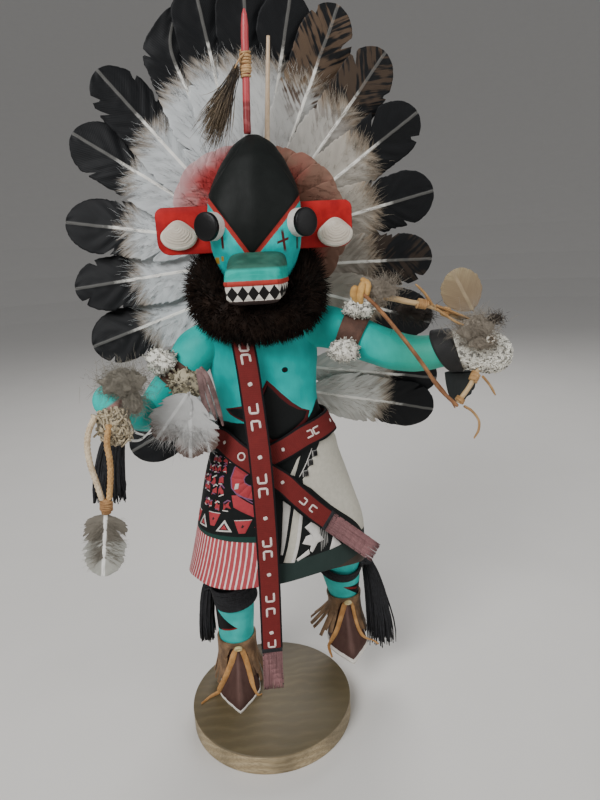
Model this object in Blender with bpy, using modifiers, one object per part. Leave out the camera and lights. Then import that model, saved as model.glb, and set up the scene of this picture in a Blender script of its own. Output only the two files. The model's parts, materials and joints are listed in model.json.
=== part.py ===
"""A masked dancer doll of carved and painted wood, dressed in feathers, fur, leather and yarn.

Sizes and points are in millimetres and become metres where an object is made.
+Z is up, the dancer faces -Y, and the origin is the centre of the base's underside.
The dancer's right side is at -X.
"""

import math

import bmesh
import bpy
import numpy as np
from mathutils import Matrix, Vector

MM = 0.001
GAP = 0.4  # clearance between neighbouring solids
SMOOTH_ANGLE = math.radians(40)

# Base
BASE_RADIUS = 50.8
BASE_HEIGHT = 12.7
BASE_EDGE = 0.8

# Torso and kilt: height, centre x, centre y, half width, half depth, slope of the level across the kilt
BODY_POWER = 2.1
BODY_SECTIONS = [
    (106.0, 7.0, 6.0, 52.2, 33.0, 0.13),
    (122.0, 8.7, 6.0, 50.2, 31.0, 0.11),
    (150.0, 8.9, 5.5, 43.2, 27.0, 0.07),
    (174.0, 10.2, 5.0, 38.1, 24.0, 0.03),
    (187.0, 12.0, 5.0, 35.0, 22.0, 0.0),
    (196.0, 11.8, 4.5, 30.6, 20.0, 0.0),
    (206.0, 10.6, 4.0, 28.4, 18.5, 0.0),
    (222.0, 9.3, 4.0, 29.2, 18.5, 0.0),
    (238.0, 8.5, 3.5, 31.0, 18.5, 0.0),
    (249.0, 7.0, 3.0, 30.5, 17.0, 0.0),
    (257.0, 7.0, 2.5, 23.0, 14.5, 0.0),
    (264.0, 8.0, 2.0, 15.0, 12.5, 0.0),
    (274.0, 8.5, 1.0, 13.0, 12.0, 0.0),
]
KNEE_PUSH = 5.6  # the raised knee pushes the kilt's left side out
KNEE_PUSH_ANGLE = 95.0
KNEE_PUSH_SPREAD = 58.0
KILT_TOP = 190.0
# The hem's own waves: angle from the front, and how far the edge is raised there; they fade out upwards
HEM_WAVES = [
    (-180, 0.0), (-150, 0.8), (-120, 2.6), (-90, 5.6), (-70, 7.0), (-62, 6.7), (-55, 5.6), (-47, 3.9),
    (-38, 2.7), (-28, 2.1), (-16, 2.3), (3, 1.7), (28, 1.2), (40, -0.4), (50, -2.9), (60, -5.6), (70, -8.2),
    (86, -11.6), (105, -11.0), (130, -6.6), (155, -2.0), (180, 0.0),
]
HEM_FADE = (106.0, 135.0)

# Mask: height, centre x, centre y, half width, half depth, squareness (2 is an ellipse)
HEAD_SECTIONS = [
    (266.0, 8.5, 1.0, 12.0, 12.0, 2.0),
    (274.0, 9.0, 0.0, 16.0, 15.5, 2.2),
    (283.0, 9.0, -1.0, 20.0, 20.0, 2.7),
    (293.0, 9.0, -1.5, 23.5, 23.5, 3.3),
    (305.0, 9.0, -1.5, 24.5, 24.5, 3.6),
    (316.0, 9.3, -1.0, 24.3, 23.5, 3.4),
    (324.0, 9.8, -0.5, 22.8, 21.7, 3.0),
    (332.0, 10.2, 0.0, 19.3, 19.0, 2.6),
    (340.0, 10.8, 0.0, 14.6, 15.0, 2.4),
    (346.0, 11.0, 0.0, 9.2, 9.6, 2.2),
    (349.5, 11.0, 0.0, 3.5, 3.8, 2.0),
]

# Muzzle: centre x, y, centre height, half width, half height
MUZZLE_POWER = 4.5
MUZZLE_SECTIONS = [
    (9.0, -18.0, 283.5, 14.5, 10.0),
    (8.2, -27.0, 281.5, 14.8, 10.5),
    (6.6, -36.0, 278.8, 13.9, 9.4),
    (5.2, -41.5, 277.2, 13.0, 8.3),
    (5.0, -42.6, 277.0, 12.0, 7.2),
]

# Legs and moccasins. A foot is the point under the ankle's centre, a knee is where the leg meets LEG_TOP.
LEG_TOP = 122.0
STANDING_FOOT = (-20.5, 17.0, BASE_HEIGHT - 0.6)
STANDING_KNEE = (-18.6, 12.0)
STANDING_GIRTH = (10.8, 12.7)  # radius at the ankle, and from the calf up
RAISED_FOOT = (54.5, 31.5, 27.5)
RAISED_KNEE = (47.0, 9.0)
RAISED_GIRTH = (9.2, 12.8)
# One side of the sole from the ankle's centre: toe, ball, heel corner, heel
SOLE_OUTLINE = [(0.0, -32.5), (13.3, -14.0), (11.5, 4.0), (7.0, 12.5), (0.0, 15.0)]
# Height above the sole, and how far the moccasin has closed there towards the round ankle
MOCCASIN_LEVELS = [(0.0, 0.0), (2.6, 0.0), (6.5, 0.14), (11.0, 0.38), (17.0, 0.66), (23.0, 0.88), (31.0, 1.0)]
ANKLE_HEIGHT = 31.0

# Arms: x, y, z and radius from inside the shoulder to the fist
ARM_RIGHT = [
    (-6, 4, 244, 9.0), (-24, 2, 243, 12.0), (-34, 1, 233, 11.2), (-45, 1, 220, 10.2), (-54, 0, 209, 9.8),
    (-59, -6, 209, 9.6), (-62, -14, 213, 9.0), (-65, -22, 218, 8.2), (-68, -28, 222, 8.6),
    (-70.5, -34, 226, 8.4), (-71.5, -37, 228, 6.5),
]
ARM_LEFT = [
    (22, 3, 246, 9.0), (41, 1, 250, 11.6), (55, -3, 246.4, 11.4), (68, -7, 240.6, 11.0), (80, -10, 236, 10.6),
    (90, -13, 234, 10.0), (98, -17, 234.6, 9.4), (107, -22, 236.3, 8.6), (115, -25, 236.4, 8.4),
    (123, -28, 236, 9.2), (130, -30, 234, 8.4), (135, -31, 232.5, 5.5),
]
FIST_LACE = [
    (112, -24, 237, 10.8), (118, -26.2, 236.6, 11.4), (124, -28.2, 236, 11.8), (131, -30.2, 233.8, 10.6),
    (137.5, -31.6, 231.6, 6.0),
]
BAND_THICK = 1.4
LACE_CURL = 7.4

# Bands round limbs: share of the arm's length where each starts and ends
ARMBAND_RIGHT = (0.19, 0.27)
ARMBAND_LEFT = (0.165, 0.24)
CUFF_LEFT = (0.585, 0.655)
CUFF_THICK = 2.6

# Mask fittings, measured from the mask's middle plane
HEAD_X = 9.2
EYE_RADIUS = 6.9
EYE_FRONT = (25.0, -26.2, 305.7)
EYE_TURN = math.radians(34)
EYE_LENGTH = 16.0
EAR_INNER = 18.0
EAR_REACH = 50.5
EAR_HEIGHT = 23.5
EAR_THICK = 3.6
EAR_PLACE = (-6.0, 304.5)
SHELL_CENTRES = [(-39.2, -10.5, 301.8), (41.2, -10.5, 299.6)]
SHELL_HALF = (9.2, 6.8)

# Fur collar: centre, reach, tilt towards the front, and section
RUFF_CENTRE = (8.0, -3.8, 267.5)
RUFF_REACH = (24.5, 20.6)
RUFF_DROP = 8.5
RUFF_RISE = 5.2  # how much higher the middle of the section, and taller its half, at the sides and behind
RUFF_HALF = (12.5, 13.5)

# Crown rod with its lashing and feather
ROD_RADIUS = 1.9
ROD_FOOT = (8.4, -1.0, 350.2)
ROD_TOP = (10.9, -1.0, 406.0)
ROD_TIE = (0.44, 0.70)

# Feather bonnet: angle from +X, length from the hub, and how far its own hub lies below the top one
HUB = (9.0, 35.0, 296.0)
BONNET_FEATHERS = [
    (-12.5, 111.0, 85.0), (-9.0, 112.0, 71.0), (-18.0, 112.0, 18.0), (-0.5, 107.0, 13.0), (13.2, 110.5, 0.0),
    (34.9, 119.0, 0.0), (51.1, 127.5, 0.0), (66.3, 134.0, 0.0), (77.5, 133.0, 0.0), (88.5, 136.0, 0.0),
    (99.5, 135.0, 0.0), (110.5, 133.0, 0.0), (129.6, 122.0, 0.0), (146.2, 114.5, 0.0), (170.7, 107.0, 0.0),
    (186.0, 106.0, 9.0), (198.0, 105.0, 22.0), (206.8, 96.0, 79.0),
]
FEATHER_HALF_WIDTH = 14.5
FEATHER_ROOT = 18.0  # where the quill starts, from the hub
FEATHER_THICK = 0.9
FEATHER_SHINGLE = math.radians(12)
QUILL_HALF_WIDTH = 0.7
VANE_START = 0.16
VANE_FULL = 0.66
PAD_HALF = (22.0, 60.0)
PAD_THICK = 4.4
PAD_CENTRE = (9.0, 32.0, 258.0)

# Sash: angle round the body from the front, height and lift off the wood
SASH_WIDTH = 12.2
SASH_THICK = 1.8
SASH_WRAP = [
    (-13, 181.5, 0.0), (5, 186.5, 0.0), (24, 191.5, 0.0), (38, 193.6, 0.0), (63, 195.8, 0.5), (90, 196, 0.9),
    (135, 195.5, 0.5), (180, 195, 0.0), (225, 194.3, 0.0), (262, 193, 0.0), (294, 191.8, 0.0),
    (309, 190.8, 0.3), (331, 184.6, 2.0), (348, 178.2, 2.8), (366, 169.6, 2.8), (376, 161, 2.4),
    (386, 151.6, 1.6), (398.5, 139.4, 0.6),
]
SASH_TAIL = 38.5
SASH_TAIL_OUT = 1.5  # how far the stiff tail's end stands further off the kilt
SASH_LIFT = 1.2
SASH_FALL = [
    (-1.2, -21.0, 243.5), (0.0, -22.0, 232), (1.2, -23.5, 215), (2.2, -27.0, 200), (2.8, -30.2, 188),
    (3.2, -31.6, 172), (3.4, -31.4, 150), (3.3, -31.6, 128), (2.9, -31.6, 105), (2.2, -32.0, 80),
    (1.6, -32.6, 60), (1.2, -33.0, 43.0),
]

# Bow
BOW_RADIUS = 1.6
BOW_STAVE = [
    (56, -37, 271.5), (70, -37, 267.9), (90, -37.5, 263), (104, -36.5, 257.5), (114, -34, 251),
    (121, -31.5, 244), (123.5, -30, 238), (122.8, -31, 232), (118.5, -34, 226), (113, -36.5, 218),
    (107.6, -37.5, 211),
]
STRING_RADIUS = 1.3
BOW_STRING = [
    (58, -41.2, 270.5), (65, -41.3, 263.5), (75.8, -41.4, 250), (87.1, -41.2, 234.5), (96, -41.2, 221),
    (105.5, -41.4, 211),
]

# Cords and feather in the right hand
CORD_RADIUS = 1.6
HAND_CORDS = {
    "hand_cord_outer": [(-75.5, -41.5, 220), (-79.6, -42.5, 212), (-81.2, -43, 204), (-80.9, -43, 195),
                        (-79.3, -42.8, 185), (-78.0, -42.6, 176.2)],
    "hand_cord_inner": [(-69.5, -42.0, 215), (-71.6, -42.6, 206), (-71.4, -42.8, 197), (-72.2, -42.8, 188),
                        (-74.4, -42.6, 176.2)],
}


def clear_scene():
    for obj in list(bpy.data.objects):
        bpy.data.objects.remove(obj)


def new_collection(name):
    made = bpy.data.collections.new(name)
    bpy.context.scene.collection.children.link(made)
    return made


def paint(name, colour, roughness):
    """A plain Principled material."""
    material = bpy.data.materials.new(name)
    material.use_nodes = True
    shader = material.node_tree.nodes["Principled BSDF"]
    shader.inputs["Base Color"].default_value = (*colour, 1.0)
    shader.inputs["Roughness"].default_value = roughness
    return material


def tidy_mesh(mesh):
    """Merge a mesh's doubles and turn its faces outwards."""
    work = bmesh.new()
    work.from_mesh(mesh)
    bmesh.ops.remove_doubles(work, verts=work.verts, dist=1e-6)
    bmesh.ops.recalc_face_normals(work, faces=work.faces)
    work.to_mesh(mesh)
    work.free()
    mesh.shade_smooth()
    mesh.set_sharp_from_angle(angle=SMOOTH_ANGLE)


def add_mesh(name, points, faces, collection, material=None):
    mesh = bpy.data.meshes.new(name)
    mesh.from_pydata([tuple(float(c) * MM for c in point) for point in points], [], faces)
    tidy_mesh(mesh)
    if material:
        mesh.materials.append(material)
    obj = bpy.data.objects.new(name, mesh)
    collection.objects.link(obj)
    return obj


def own_collection(obj, collection):
    for owner in list(obj.users_collection):
        owner.objects.unlink(obj)
    collection.objects.link(obj)


def as_mesh(curve):
    """The curve object as a mesh object in its place, with its caps joined on."""
    graph = bpy.context.evaluated_depsgraph_get()
    mesh = bpy.data.meshes.new_from_object(curve.evaluated_get(graph))
    tidy_mesh(mesh)
    obj = bpy.data.objects.new("made", mesh)
    obj.matrix_world = curve.matrix_world
    curve.users_collection[0].objects.link(obj)
    name = curve.name
    bpy.data.objects.remove(curve)
    obj.name = name
    return obj


def as_cutter(obj):
    obj.hide_render = True
    obj.display_type = "WIRE"
    return obj


def boolean(obj, other, operation):
    modifier = obj.modifiers.new(operation.title() + " " + other.name, "BOOLEAN")
    modifier.object = other
    modifier.operation = operation
    modifier.solver = "EXACT"


def cut(obj, cutters):
    for cutter in cutters:
        boolean(obj, cutter, "DIFFERENCE")


def solidify(obj, thickness, offset):
    modifier = obj.modifiers.new("Wall", "SOLIDIFY")
    modifier.thickness = thickness * MM
    modifier.offset = offset
    modifier.use_even_offset = True


def smooth_rows(rows, at):
    """The rows' values at the places `at`, on smooth curves through them. Column one is the place."""
    rows = np.array(rows, float)
    places = rows[:, 0]
    slopes = np.gradient(rows, places, axis=0)
    index = np.clip(np.searchsorted(places, at, side="right") - 1, 0, len(places) - 2)
    span = (places[index + 1] - places[index])[:, None]
    t = (np.asarray(at) - places[index])[:, None] / span
    start, end = rows[index], rows[index + 1]
    value = (2 * t + 1) * (t - 1) ** 2 * start + t * t * (3 - 2 * t) * end
    return value + t * (t - 1) ** 2 * span * slopes[index] + t * t * (t - 1) * span * slopes[index + 1]


def smooth_line(points, count):
    """Points on a smooth line through a few given ones."""
    rows = [(i, *point) for i, point in enumerate(points)]
    return [Vector(row[1:]) for row in smooth_rows(rows, np.linspace(0, len(points) - 1, count))]


def oval(angle, half_width, half_depth, power):
    """A point of a superellipse. Angle 0 is the front, -Y, and a quarter turn is +X."""
    s, c = math.sin(angle), math.cos(angle)
    reach = (abs(s) ** power + abs(c) ** power) ** (-1.0 / power)
    return half_width * reach * s, -half_depth * reach * c


def turns(count):
    return [2 * math.pi * i / count for i in range(count)]


def grid_faces(rows, columns, closed):
    """Quads between neighbouring rows of points; closed joins the last column to the first."""
    faces = []
    for row in range(rows - 1):
        for k in range(columns if closed else columns - 1):
            j = (k + 1) % columns
            here, above = row * columns, (row + 1) * columns
            faces.append((here + k, here + j, above + j, above + k))
    return faces


def loft(name, rings, collection, material=None):
    """A closed skin over rings of equally many points, with a fan over each end."""
    count = len(rings[0])
    points = [point for ring in rings for point in ring]
    faces = grid_faces(len(rings), count, True)
    for row in (0, len(rings) - 1):
        points.append(tuple(np.mean(np.array(rings[row], float), axis=0)))
        for k in range(count):
            faces.append((row * count + k, row * count + (k + 1) % count, len(points) - 1))
    return add_mesh(name, points, faces, collection, material)


def knee_push(angle, height):
    """How far the kilt's left side is pushed out over the raised knee."""
    away = abs(math.degrees(math.atan2(math.sin(angle), math.cos(angle))) - KNEE_PUSH_ANGLE)
    share = min(max(1 - away / KNEE_PUSH_SPREAD, 0.0), 1.0) * min(max((KILT_TOP + 5 - height) / 50, 0.0), 1.0)
    return KNEE_PUSH * share * share * (3 - 2 * share)


def hem_wave(angle, height):
    """How far the hem's waves raise the kilt at an angle and height."""
    fade = min(max((HEM_FADE[1] - height) / (HEM_FADE[1] - HEM_FADE[0]), 0.0), 1.0) ** 2
    degrees = math.degrees(math.atan2(math.sin(angle), math.cos(angle)))
    return fade * smooth_rows(HEM_WAVES, np.array([degrees]))[0][1]


def body_point(angle, height, lift=0.0):
    """A point on the torso or kilt at an angle from the front, lifted off the wood."""
    _, cx, cy, half_width, half_depth, slope = smooth_rows(BODY_SECTIONS, np.array([height]))[0]
    x, y = oval(angle, half_width + lift, half_depth + lift, BODY_POWER)
    x += knee_push(angle, height)
    return Vector((cx + x, cy + y, height + slope * x + hem_wave(angle, height)))


def torso_and_kilt(name, collection, grow=0.0, material=None):
    low, high = BODY_SECTIONS[0][0], BODY_SECTIONS[-1][0]
    heights = np.concatenate([np.linspace(low, KILT_TOP, 6), np.linspace(KILT_TOP + 7, high, 9)])
    rings = [[body_point(angle, height, grow) for angle in turns(28)] for height in heights]
    rings[0] = [point - Vector((0, 0, grow)) for point in rings[0]]
    return loft(name, rings, collection, material)


def mask_block(name, collection, grow=0.0):
    rings = []
    for z, cx, cy, half_width, half_depth, power in smooth_rows(HEAD_SECTIONS, np.linspace(266.0, 349.5, 12)):
        wide, deep = max(half_width, 0.6) + grow, max(half_depth, 0.6) + grow
        ovals = [oval(angle, wide, deep, power) for angle in turns(24)]
        rings.append([(cx + x, cy + y, z) for x, y in ovals])
    rings[-1] = [(x, y, z + grow) for x, y, z in rings[-1]]
    return loft(name, rings, collection)


def muzzle_block(name, collection, grow=0.0):
    rings = []
    for x, y, z, half_width, half_height in MUZZLE_SECTIONS:
        ovals = [oval(angle, half_width + grow, half_height + grow, MUZZLE_POWER) for angle in turns(20)]
        rings.append([(x + dx, y - grow, z + dz) for dx, dz in ovals])
    return loft(name, rings, collection)


def leg_line(foot, knee, girth):
    """Stations of the leg from the ankle up: x, y, z, radius."""
    ankle = Vector((foot[0], foot[1], foot[2] + ANKLE_HEIGHT))
    top = Vector((*knee, LEG_TOP))
    low, high = girth
    return [(*ankle.lerp(top, t), low + (high - low) * min(2 * t, 1.0)) for t in (0.0, 0.25, 0.5, 0.75, 1.0)]


def sole_ring(count):
    """Points evenly spaced round the pointed sole, from the toe by +X."""
    side = [Vector(corner) for corner in SOLE_OUTLINE]
    outline = side + [Vector((-corner.x, corner.y)) for corner in side[-2::-1]]
    lengths = np.cumsum([0.0] + [(b - a).length for a, b in zip(outline, outline[1:])])
    at = np.linspace(0.0, lengths[-1], count, endpoint=False)
    xs = np.interp(at, lengths, [corner.x for corner in outline])
    ys = np.interp(at, lengths, [corner.y for corner in outline])
    return [Vector(pair) for pair in zip(xs, ys)]


def leg(name, foot, knee, girth, collection, grow=0.0):
    """A moccasin that closes from its pointed sole to the round ankle, and the leg above it."""
    sole = sole_ring(16)
    angles = [math.atan2(corner.x, -corner.y) for corner in sole]
    rings = []
    for height, closing in MOCCASIN_LEVELS:
        ring = []
        for corner, angle in zip(sole, angles):
            ankle = Vector((math.sin(angle), -math.cos(angle))) * girth[0]
            spot = corner.lerp(ankle, closing)
            spot += spot.normalized() * grow
            ring.append((foot[0] + spot.x, foot[1] + spot.y, foot[2] + height))
        rings.append(ring)
    rings[0] = [(x, y, z - grow) for x, y, z in rings[0]]
    for x, y, z, radius in leg_line(foot, knee, girth)[1:]:
        reach = radius + grow
        rings.append([(x + reach * math.sin(angle), y - reach * math.cos(angle), z) for angle in angles])
    return loft(name, rings, collection)


def frame_at(stations, index):
    """Direction along a limb at a station, and two directions across it, the first nearest +Y."""
    low, high = max(index - 1, 0), min(index + 1, len(stations) - 1)
    ahead = (Vector(stations[high][:3]) - Vector(stations[low][:3])).normalized()
    side = (Vector((0, 1, 0)) - ahead * ahead.y).normalized()
    return ahead, side, ahead.cross(side)


def circle(centre, side, up, radius, count):
    return [centre + (side * math.cos(angle) + up * math.sin(angle)) * radius for angle in turns(count)]


def limb(name, stations, collection, material=None, grow=0.0, sides=14):
    """A round limb through stations of x, y, z and radius, closed at both ends."""
    rings = []
    for index, (x, y, z, radius) in enumerate(stations):
        ahead, side, up = frame_at(stations, index)
        spot = Vector((x, y, z))
        if index == len(stations) - 1:
            spot += ahead * grow
        reach = radius + grow
        rings.append(circle(spot, side, up, reach, sides))
    return loft(name, rings, collection, material)


def along(stations, share):
    """Centre, radius and directions at a share of the way along a limb."""
    place = share * (len(stations) - 1)
    index = min(int(place), len(stations) - 2)
    t = place - index
    centre = Vector(stations[index][:3]).lerp(Vector(stations[index + 1][:3]), t)
    radius = stations[index][3] * (1 - t) + stations[index + 1][3] * t
    return centre, radius, frame_at(stations, index + round(t))


def sleeve(name, stations, span, thickness, collection, material, flare=0.0):
    """A band round a limb between two shares of its length, clear of it and `flare` wider at its end."""
    rows, columns = 2, 16
    points = []
    for t in np.linspace(0.0, 1.0, rows):
        centre, radius, _ = along(stations, span[0] + (span[1] - span[0]) * t)
        ahead, side, up = along(stations, (span[0] + span[1]) / 2)[2]
        reach = radius + 1.5 * GAP + flare * t
        points += circle(centre, side, up, reach, columns)
    obj = add_mesh(name, points, grid_faces(rows, columns, True), collection, material)
    solidify(obj, thickness, 1.0)
    return obj


def tube(name, points, radius, collection, material=None):
    """A round cord or stick through the points."""
    curve = bpy.data.curves.new(name, "CURVE")
    curve.dimensions = "3D"
    curve.bevel_depth = radius * MM
    curve.bevel_resolution = 2
    curve.use_fill_caps = True
    spline = curve.splines.new("POLY")
    spline.points.add(len(points) - 1)
    for spot, point in zip(spline.points, points):
        spot.co = (*(Vector(point) * MM), 1.0)
    if material:
        curve.materials.append(material)
    obj = bpy.data.objects.new(name, curve)
    collection.objects.link(obj)
    return obj


def longer(line, extra):
    """The line with both its ends carried on."""
    start = line[0] + (line[0] - line[1]).normalized() * extra
    end = line[-1] + (line[-1] - line[-2]).normalized() * extra
    return [start, *line, end]


def plate(name, outline, thickness, origin, across, ahead, collection, material):
    """A flat piece whose outline is drawn in two directions from an origin."""
    curve = bpy.data.curves.new(name, "CURVE")
    curve.dimensions = "2D"
    curve.fill_mode = "BOTH"
    curve.extrude = thickness / 2 * MM
    spline = curve.splines.new("POLY")
    spline.points.add(len(outline) - 1)
    for spot, (x, y) in zip(spline.points, outline):
        spot.co = (x * MM, y * MM, 0.0, 1.0)
    spline.use_cyclic_u = True
    curve.materials.append(material)
    obj = bpy.data.objects.new(name, curve)
    across, ahead = Vector(across).normalized(), Vector(ahead).normalized()
    turned = Matrix((across, ahead, across.cross(ahead))).transposed().to_4x4()
    obj.matrix_world = Matrix.Translation(Vector(origin) * MM) @ turned
    collection.objects.link(obj)
    return obj


def feather(name, root, tip, half_width, face, thickness, collection, material, vane_start=VANE_START):
    """A feather: a bare quill, then a vane that is full over its middle and round at its tip."""
    root, tip = Vector(root), Vector(tip)
    length = (tip - root).length
    ahead = (tip - root).normalized()
    across = ahead.cross(Vector(face)).normalized()
    side = [(QUILL_HALF_WIDTH, 0.0)]
    round_from = 1.0 - half_width / length
    for t in np.linspace(vane_start, round_from, 4):
        swell = math.sin(math.pi / 2 * min((t - vane_start) / (VANE_FULL - vane_start), 1.0)) ** 0.8
        side.append((max(half_width * swell, QUILL_HALF_WIDTH), t * length))
    side += [(half_width * math.cos(a), length - half_width * (1.0 - math.sin(a)))
             for a in np.linspace(0, math.pi / 2, 5)[1:-1]]
    side.append((0.0, length))
    outline = side + [(-x, y) for x, y in side[::-1] if x > 0]
    return plate(name, outline, thickness, root, across, ahead, collection, material)


def ribbon(name, rows, thickness, collection, material):
    """A strip from rows of points across it."""
    points = [point for row in rows for point in row]
    obj = add_mesh(name, points, grid_faces(len(rows), len(rows[0]), False), collection, material)
    solidify(obj, thickness, 0.0)
    return obj


def row_on_body(middle, across, lift):
    """Points across a strip, each laid on the torso and kilt at its own height."""
    row = []
    for share in np.linspace(-0.5, 0.5, 3):
        target = middle + across * SASH_WIDTH * share
        level = target.z
        for _ in range(4):
            _, cx, cy, half_width, half_depth, slope = smooth_rows(BODY_SECTIONS, np.array([level]))[0]
            level = target.z - slope * (target.x - cx)
        angle = math.atan2((target.x - cx) / half_width, -(target.y - cy) / half_depth)
        row.append(body_point(angle, level, lift))
    return row


def waist_sash(collection, material):
    """The sash round the waist: over its own start in front, down across the kilt and out past its side."""
    wrap = smooth_line(SASH_WRAP, 28)
    lifts = [SASH_LIFT + SASH_THICK / 2 + extra for _, _, extra in wrap]
    middle = [body_point(math.radians(angle), z, lift) for (angle, z, _), lift in zip(wrap, lifts)]
    rows = []
    for i, lift in enumerate(lifts):
        ahead = (middle[min(i + 1, len(middle) - 1)] - middle[max(i - 1, 0)]).normalized()
        angle = math.radians(wrap[i][0])
        out = Vector((math.sin(angle), -math.cos(angle), 0.0))
        rows.append(row_on_body(middle[i], ahead.cross(out).normalized(), lift))
    onwards = (middle[-1] - middle[-2]).normalized()
    for step in (0.5, 1.0):
        reach = (onwards * SASH_TAIL + out * SASH_TAIL_OUT) * step
        rows.append([point + reach for point in rows[len(lifts) - 1]])
    return ribbon("sash_waist", rows, SASH_THICK, collection, material)


def hanging_sash(collection, material):
    """The sash that falls from the collar in front of the kilt."""
    line = smooth_line(SASH_FALL, 18)
    rows = [[point + Vector((SASH_WIDTH * share, 0, 0)) for share in (-0.5, 0.5)] for point in line]
    return ribbon("sash_hanging", rows, SASH_THICK, collection, material)


def mirrored(point, right_hand):
    """A point given from the mask's middle plane, on the dancer's right or left."""
    x = -point[0] if right_hand else point[0]
    return Vector((HEAD_X + x, point[1], point[2]))


def eye_line(right_hand):
    turn = -EYE_TURN if right_hand else EYE_TURN
    ahead = Vector((math.sin(turn), -math.cos(turn), 0))
    return mirrored(EYE_FRONT, right_hand), ahead


def eye(name, right_hand, cutters, collection, material):
    """A dowel set on the mask's corner and turned outwards, its front edge eased."""
    front, ahead = eye_line(right_hand)
    ease = 0.5
    stations = [(*(front - ahead * EYE_LENGTH), EYE_RADIUS), (*(front - ahead * ease), EYE_RADIUS),
                (*front, EYE_RADIUS - ease)]
    cut(limb(name, stations, collection, material, sides=20), cutters)


def eye_space(right_hand, collection):
    front, ahead = eye_line(right_hand)
    reach = EYE_RADIUS + GAP
    stations = [(*(front - ahead * 18), reach), (*(front + ahead * 2), reach)]
    return as_cutter(limb("eye_space", stations, collection, sides=20))


def ear(name, right_hand, cutters, collection, material):
    """A square board, its outer corners rounded, let against the mask's side."""
    half = EAR_HEIGHT / 2
    upper, lower = 4.2, 6.5
    outline = [(EAR_INNER, half)]
    outline += [(EAR_REACH - upper + upper * math.sin(a), half - upper + upper * math.cos(a))
                for a in np.linspace(0, math.pi / 2, 5)]
    outline += [(EAR_REACH - lower + lower * math.cos(a), lower - half - lower * math.sin(a))
                for a in np.linspace(0, math.pi / 2, 5)]
    outline.append((EAR_INNER, -half))
    across = (-1 if right_hand else 1, 0, 0)
    board = plate(name, outline, EAR_THICK, (HEAD_X, *EAR_PLACE), across, (0, 0, 1), collection, material)
    cut(as_mesh(board), cutters)


def ear_shell(name, right_hand, collection, material):
    """A small clam shell: a shallow dome with its peak at the top."""
    across, y, z = SHELL_CENTRES[0 if right_hand else 1]
    centre = Vector((HEAD_X + across, y, z))
    rows, columns = 4, 16
    points = []
    for t in np.linspace(0.0, 1.0, rows):
        for angle in turns(columns):
            peak = 1.0 + 0.16 * max(0.0, math.cos(angle)) ** 6
            across, upwards = SHELL_HALF[0] * math.sin(angle), SHELL_HALF[1] * math.cos(angle) * peak
            points.append(centre + Vector((across * t, 2.8 * t * t - 1.4, upwards * t)))
    shell = add_mesh(name, points, grid_faces(rows, columns, True), collection, material)
    solidify(shell, 0.9, 0.0)


def fur_ruff(cutters, collection, material):
    """The fur collar: a thick ring, low in front and high behind."""
    rings = []
    for turn in turns(18):
        front = math.cos(turn)
        out = Vector((math.sin(turn), -front, 0))
        rise = RUFF_RISE * min((1.0 - front) ** 2, 1.0)
        offset = Vector((RUFF_REACH[0] * out.x, RUFF_REACH[1] * out.y, rise - RUFF_DROP * front))
        wide, tall = out * RUFF_HALF[0], Vector((0, 0, RUFF_HALF[1] + rise))
        rings.append(circle(Vector(RUFF_CENTRE) + offset, wide, tall, 1.0, 8))
    points = [point for ring in rings + rings[:1] for point in ring]
    cut(add_mesh("fur_ruff", points, grid_faces(19, 8, True), collection, material), cutters)


def bunch(name, top, bottom, half_widths, half_depths, collection, material):
    """A hanging bunch of yarn, cloth or fringe: an oval section that changes from top to bottom."""
    top, bottom = Vector(top), Vector(bottom)
    rings = []
    for t in np.linspace(0.0, 1.0, 5):
        swell = math.sin(math.pi / 2 * t) ** 0.7
        wide = half_widths[0] + (half_widths[1] - half_widths[0]) * swell
        deep = half_depths[0] + (half_depths[1] - half_depths[0]) * swell
        centre = top.lerp(bottom, t)
        rings.append([centre + Vector((*oval(angle, wide, deep, 2.4), 0)) for angle in turns(12)])
    return loft(name, rings, collection, material)


def lace_tuft(name, stations, share, angle, collection, material):
    """A gathered scrap of lace that stands on an armband."""
    centre, radius, (ahead, side, up) = along(stations, share)
    out = side * math.cos(angle) + up * math.sin(angle)
    across = ahead.cross(out)
    start = centre + out * (radius + BAND_THICK + 3 * GAP)
    rings = []
    for level, long, wide in ((0.0, 5.6, 3.6), (0.28, 7.2, 5.6), (0.7, 7.0, 5.2), (1.0, 4.5, 3.0)):
        ovals = [oval(turn, long, wide, 2.2) for turn in turns(12)]
        rings.append([start + out * LACE_CURL * level + ahead * x + across * y for x, y in ovals])
    loft(name, rings, collection, material)


def knot(name, centre, half_sizes, cutters, collection, material):
    """A rounded lump of wound leather."""
    bpy.ops.mesh.primitive_uv_sphere_add(segments=12, ring_count=7, radius=MM)
    lump = bpy.context.object
    lump.name = name
    own_collection(lump, collection)
    lump.data.transform(Matrix.Translation(Vector(centre) * MM) @ Matrix.Diagonal((*half_sizes, 1.0)))
    lump.data.materials.append(material)
    lump.data.shade_smooth()
    cut(lump, cutters)


def base_disc(collection, material):
    bpy.ops.mesh.primitive_cylinder_add(vertices=40, radius=BASE_RADIUS * MM, depth=BASE_HEIGHT * MM,
                                        location=(0, 0, BASE_HEIGHT * MM / 2))
    disc = bpy.context.object
    disc.name = "base"
    own_collection(disc, collection)
    disc.data.materials.append(material)
    disc.data.shade_smooth()
    disc.data.set_sharp_from_angle(angle=SMOOTH_ANGLE)
    edge = disc.modifiers.new("Eased edge", "BEVEL")
    edge.width = BASE_EDGE * MM
    edge.segments = 2
    edge.limit_method = "ANGLE"
    return disc


clear_scene()
doll = new_collection("kachina_doll")
helpers = new_collection("cutters")

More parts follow.
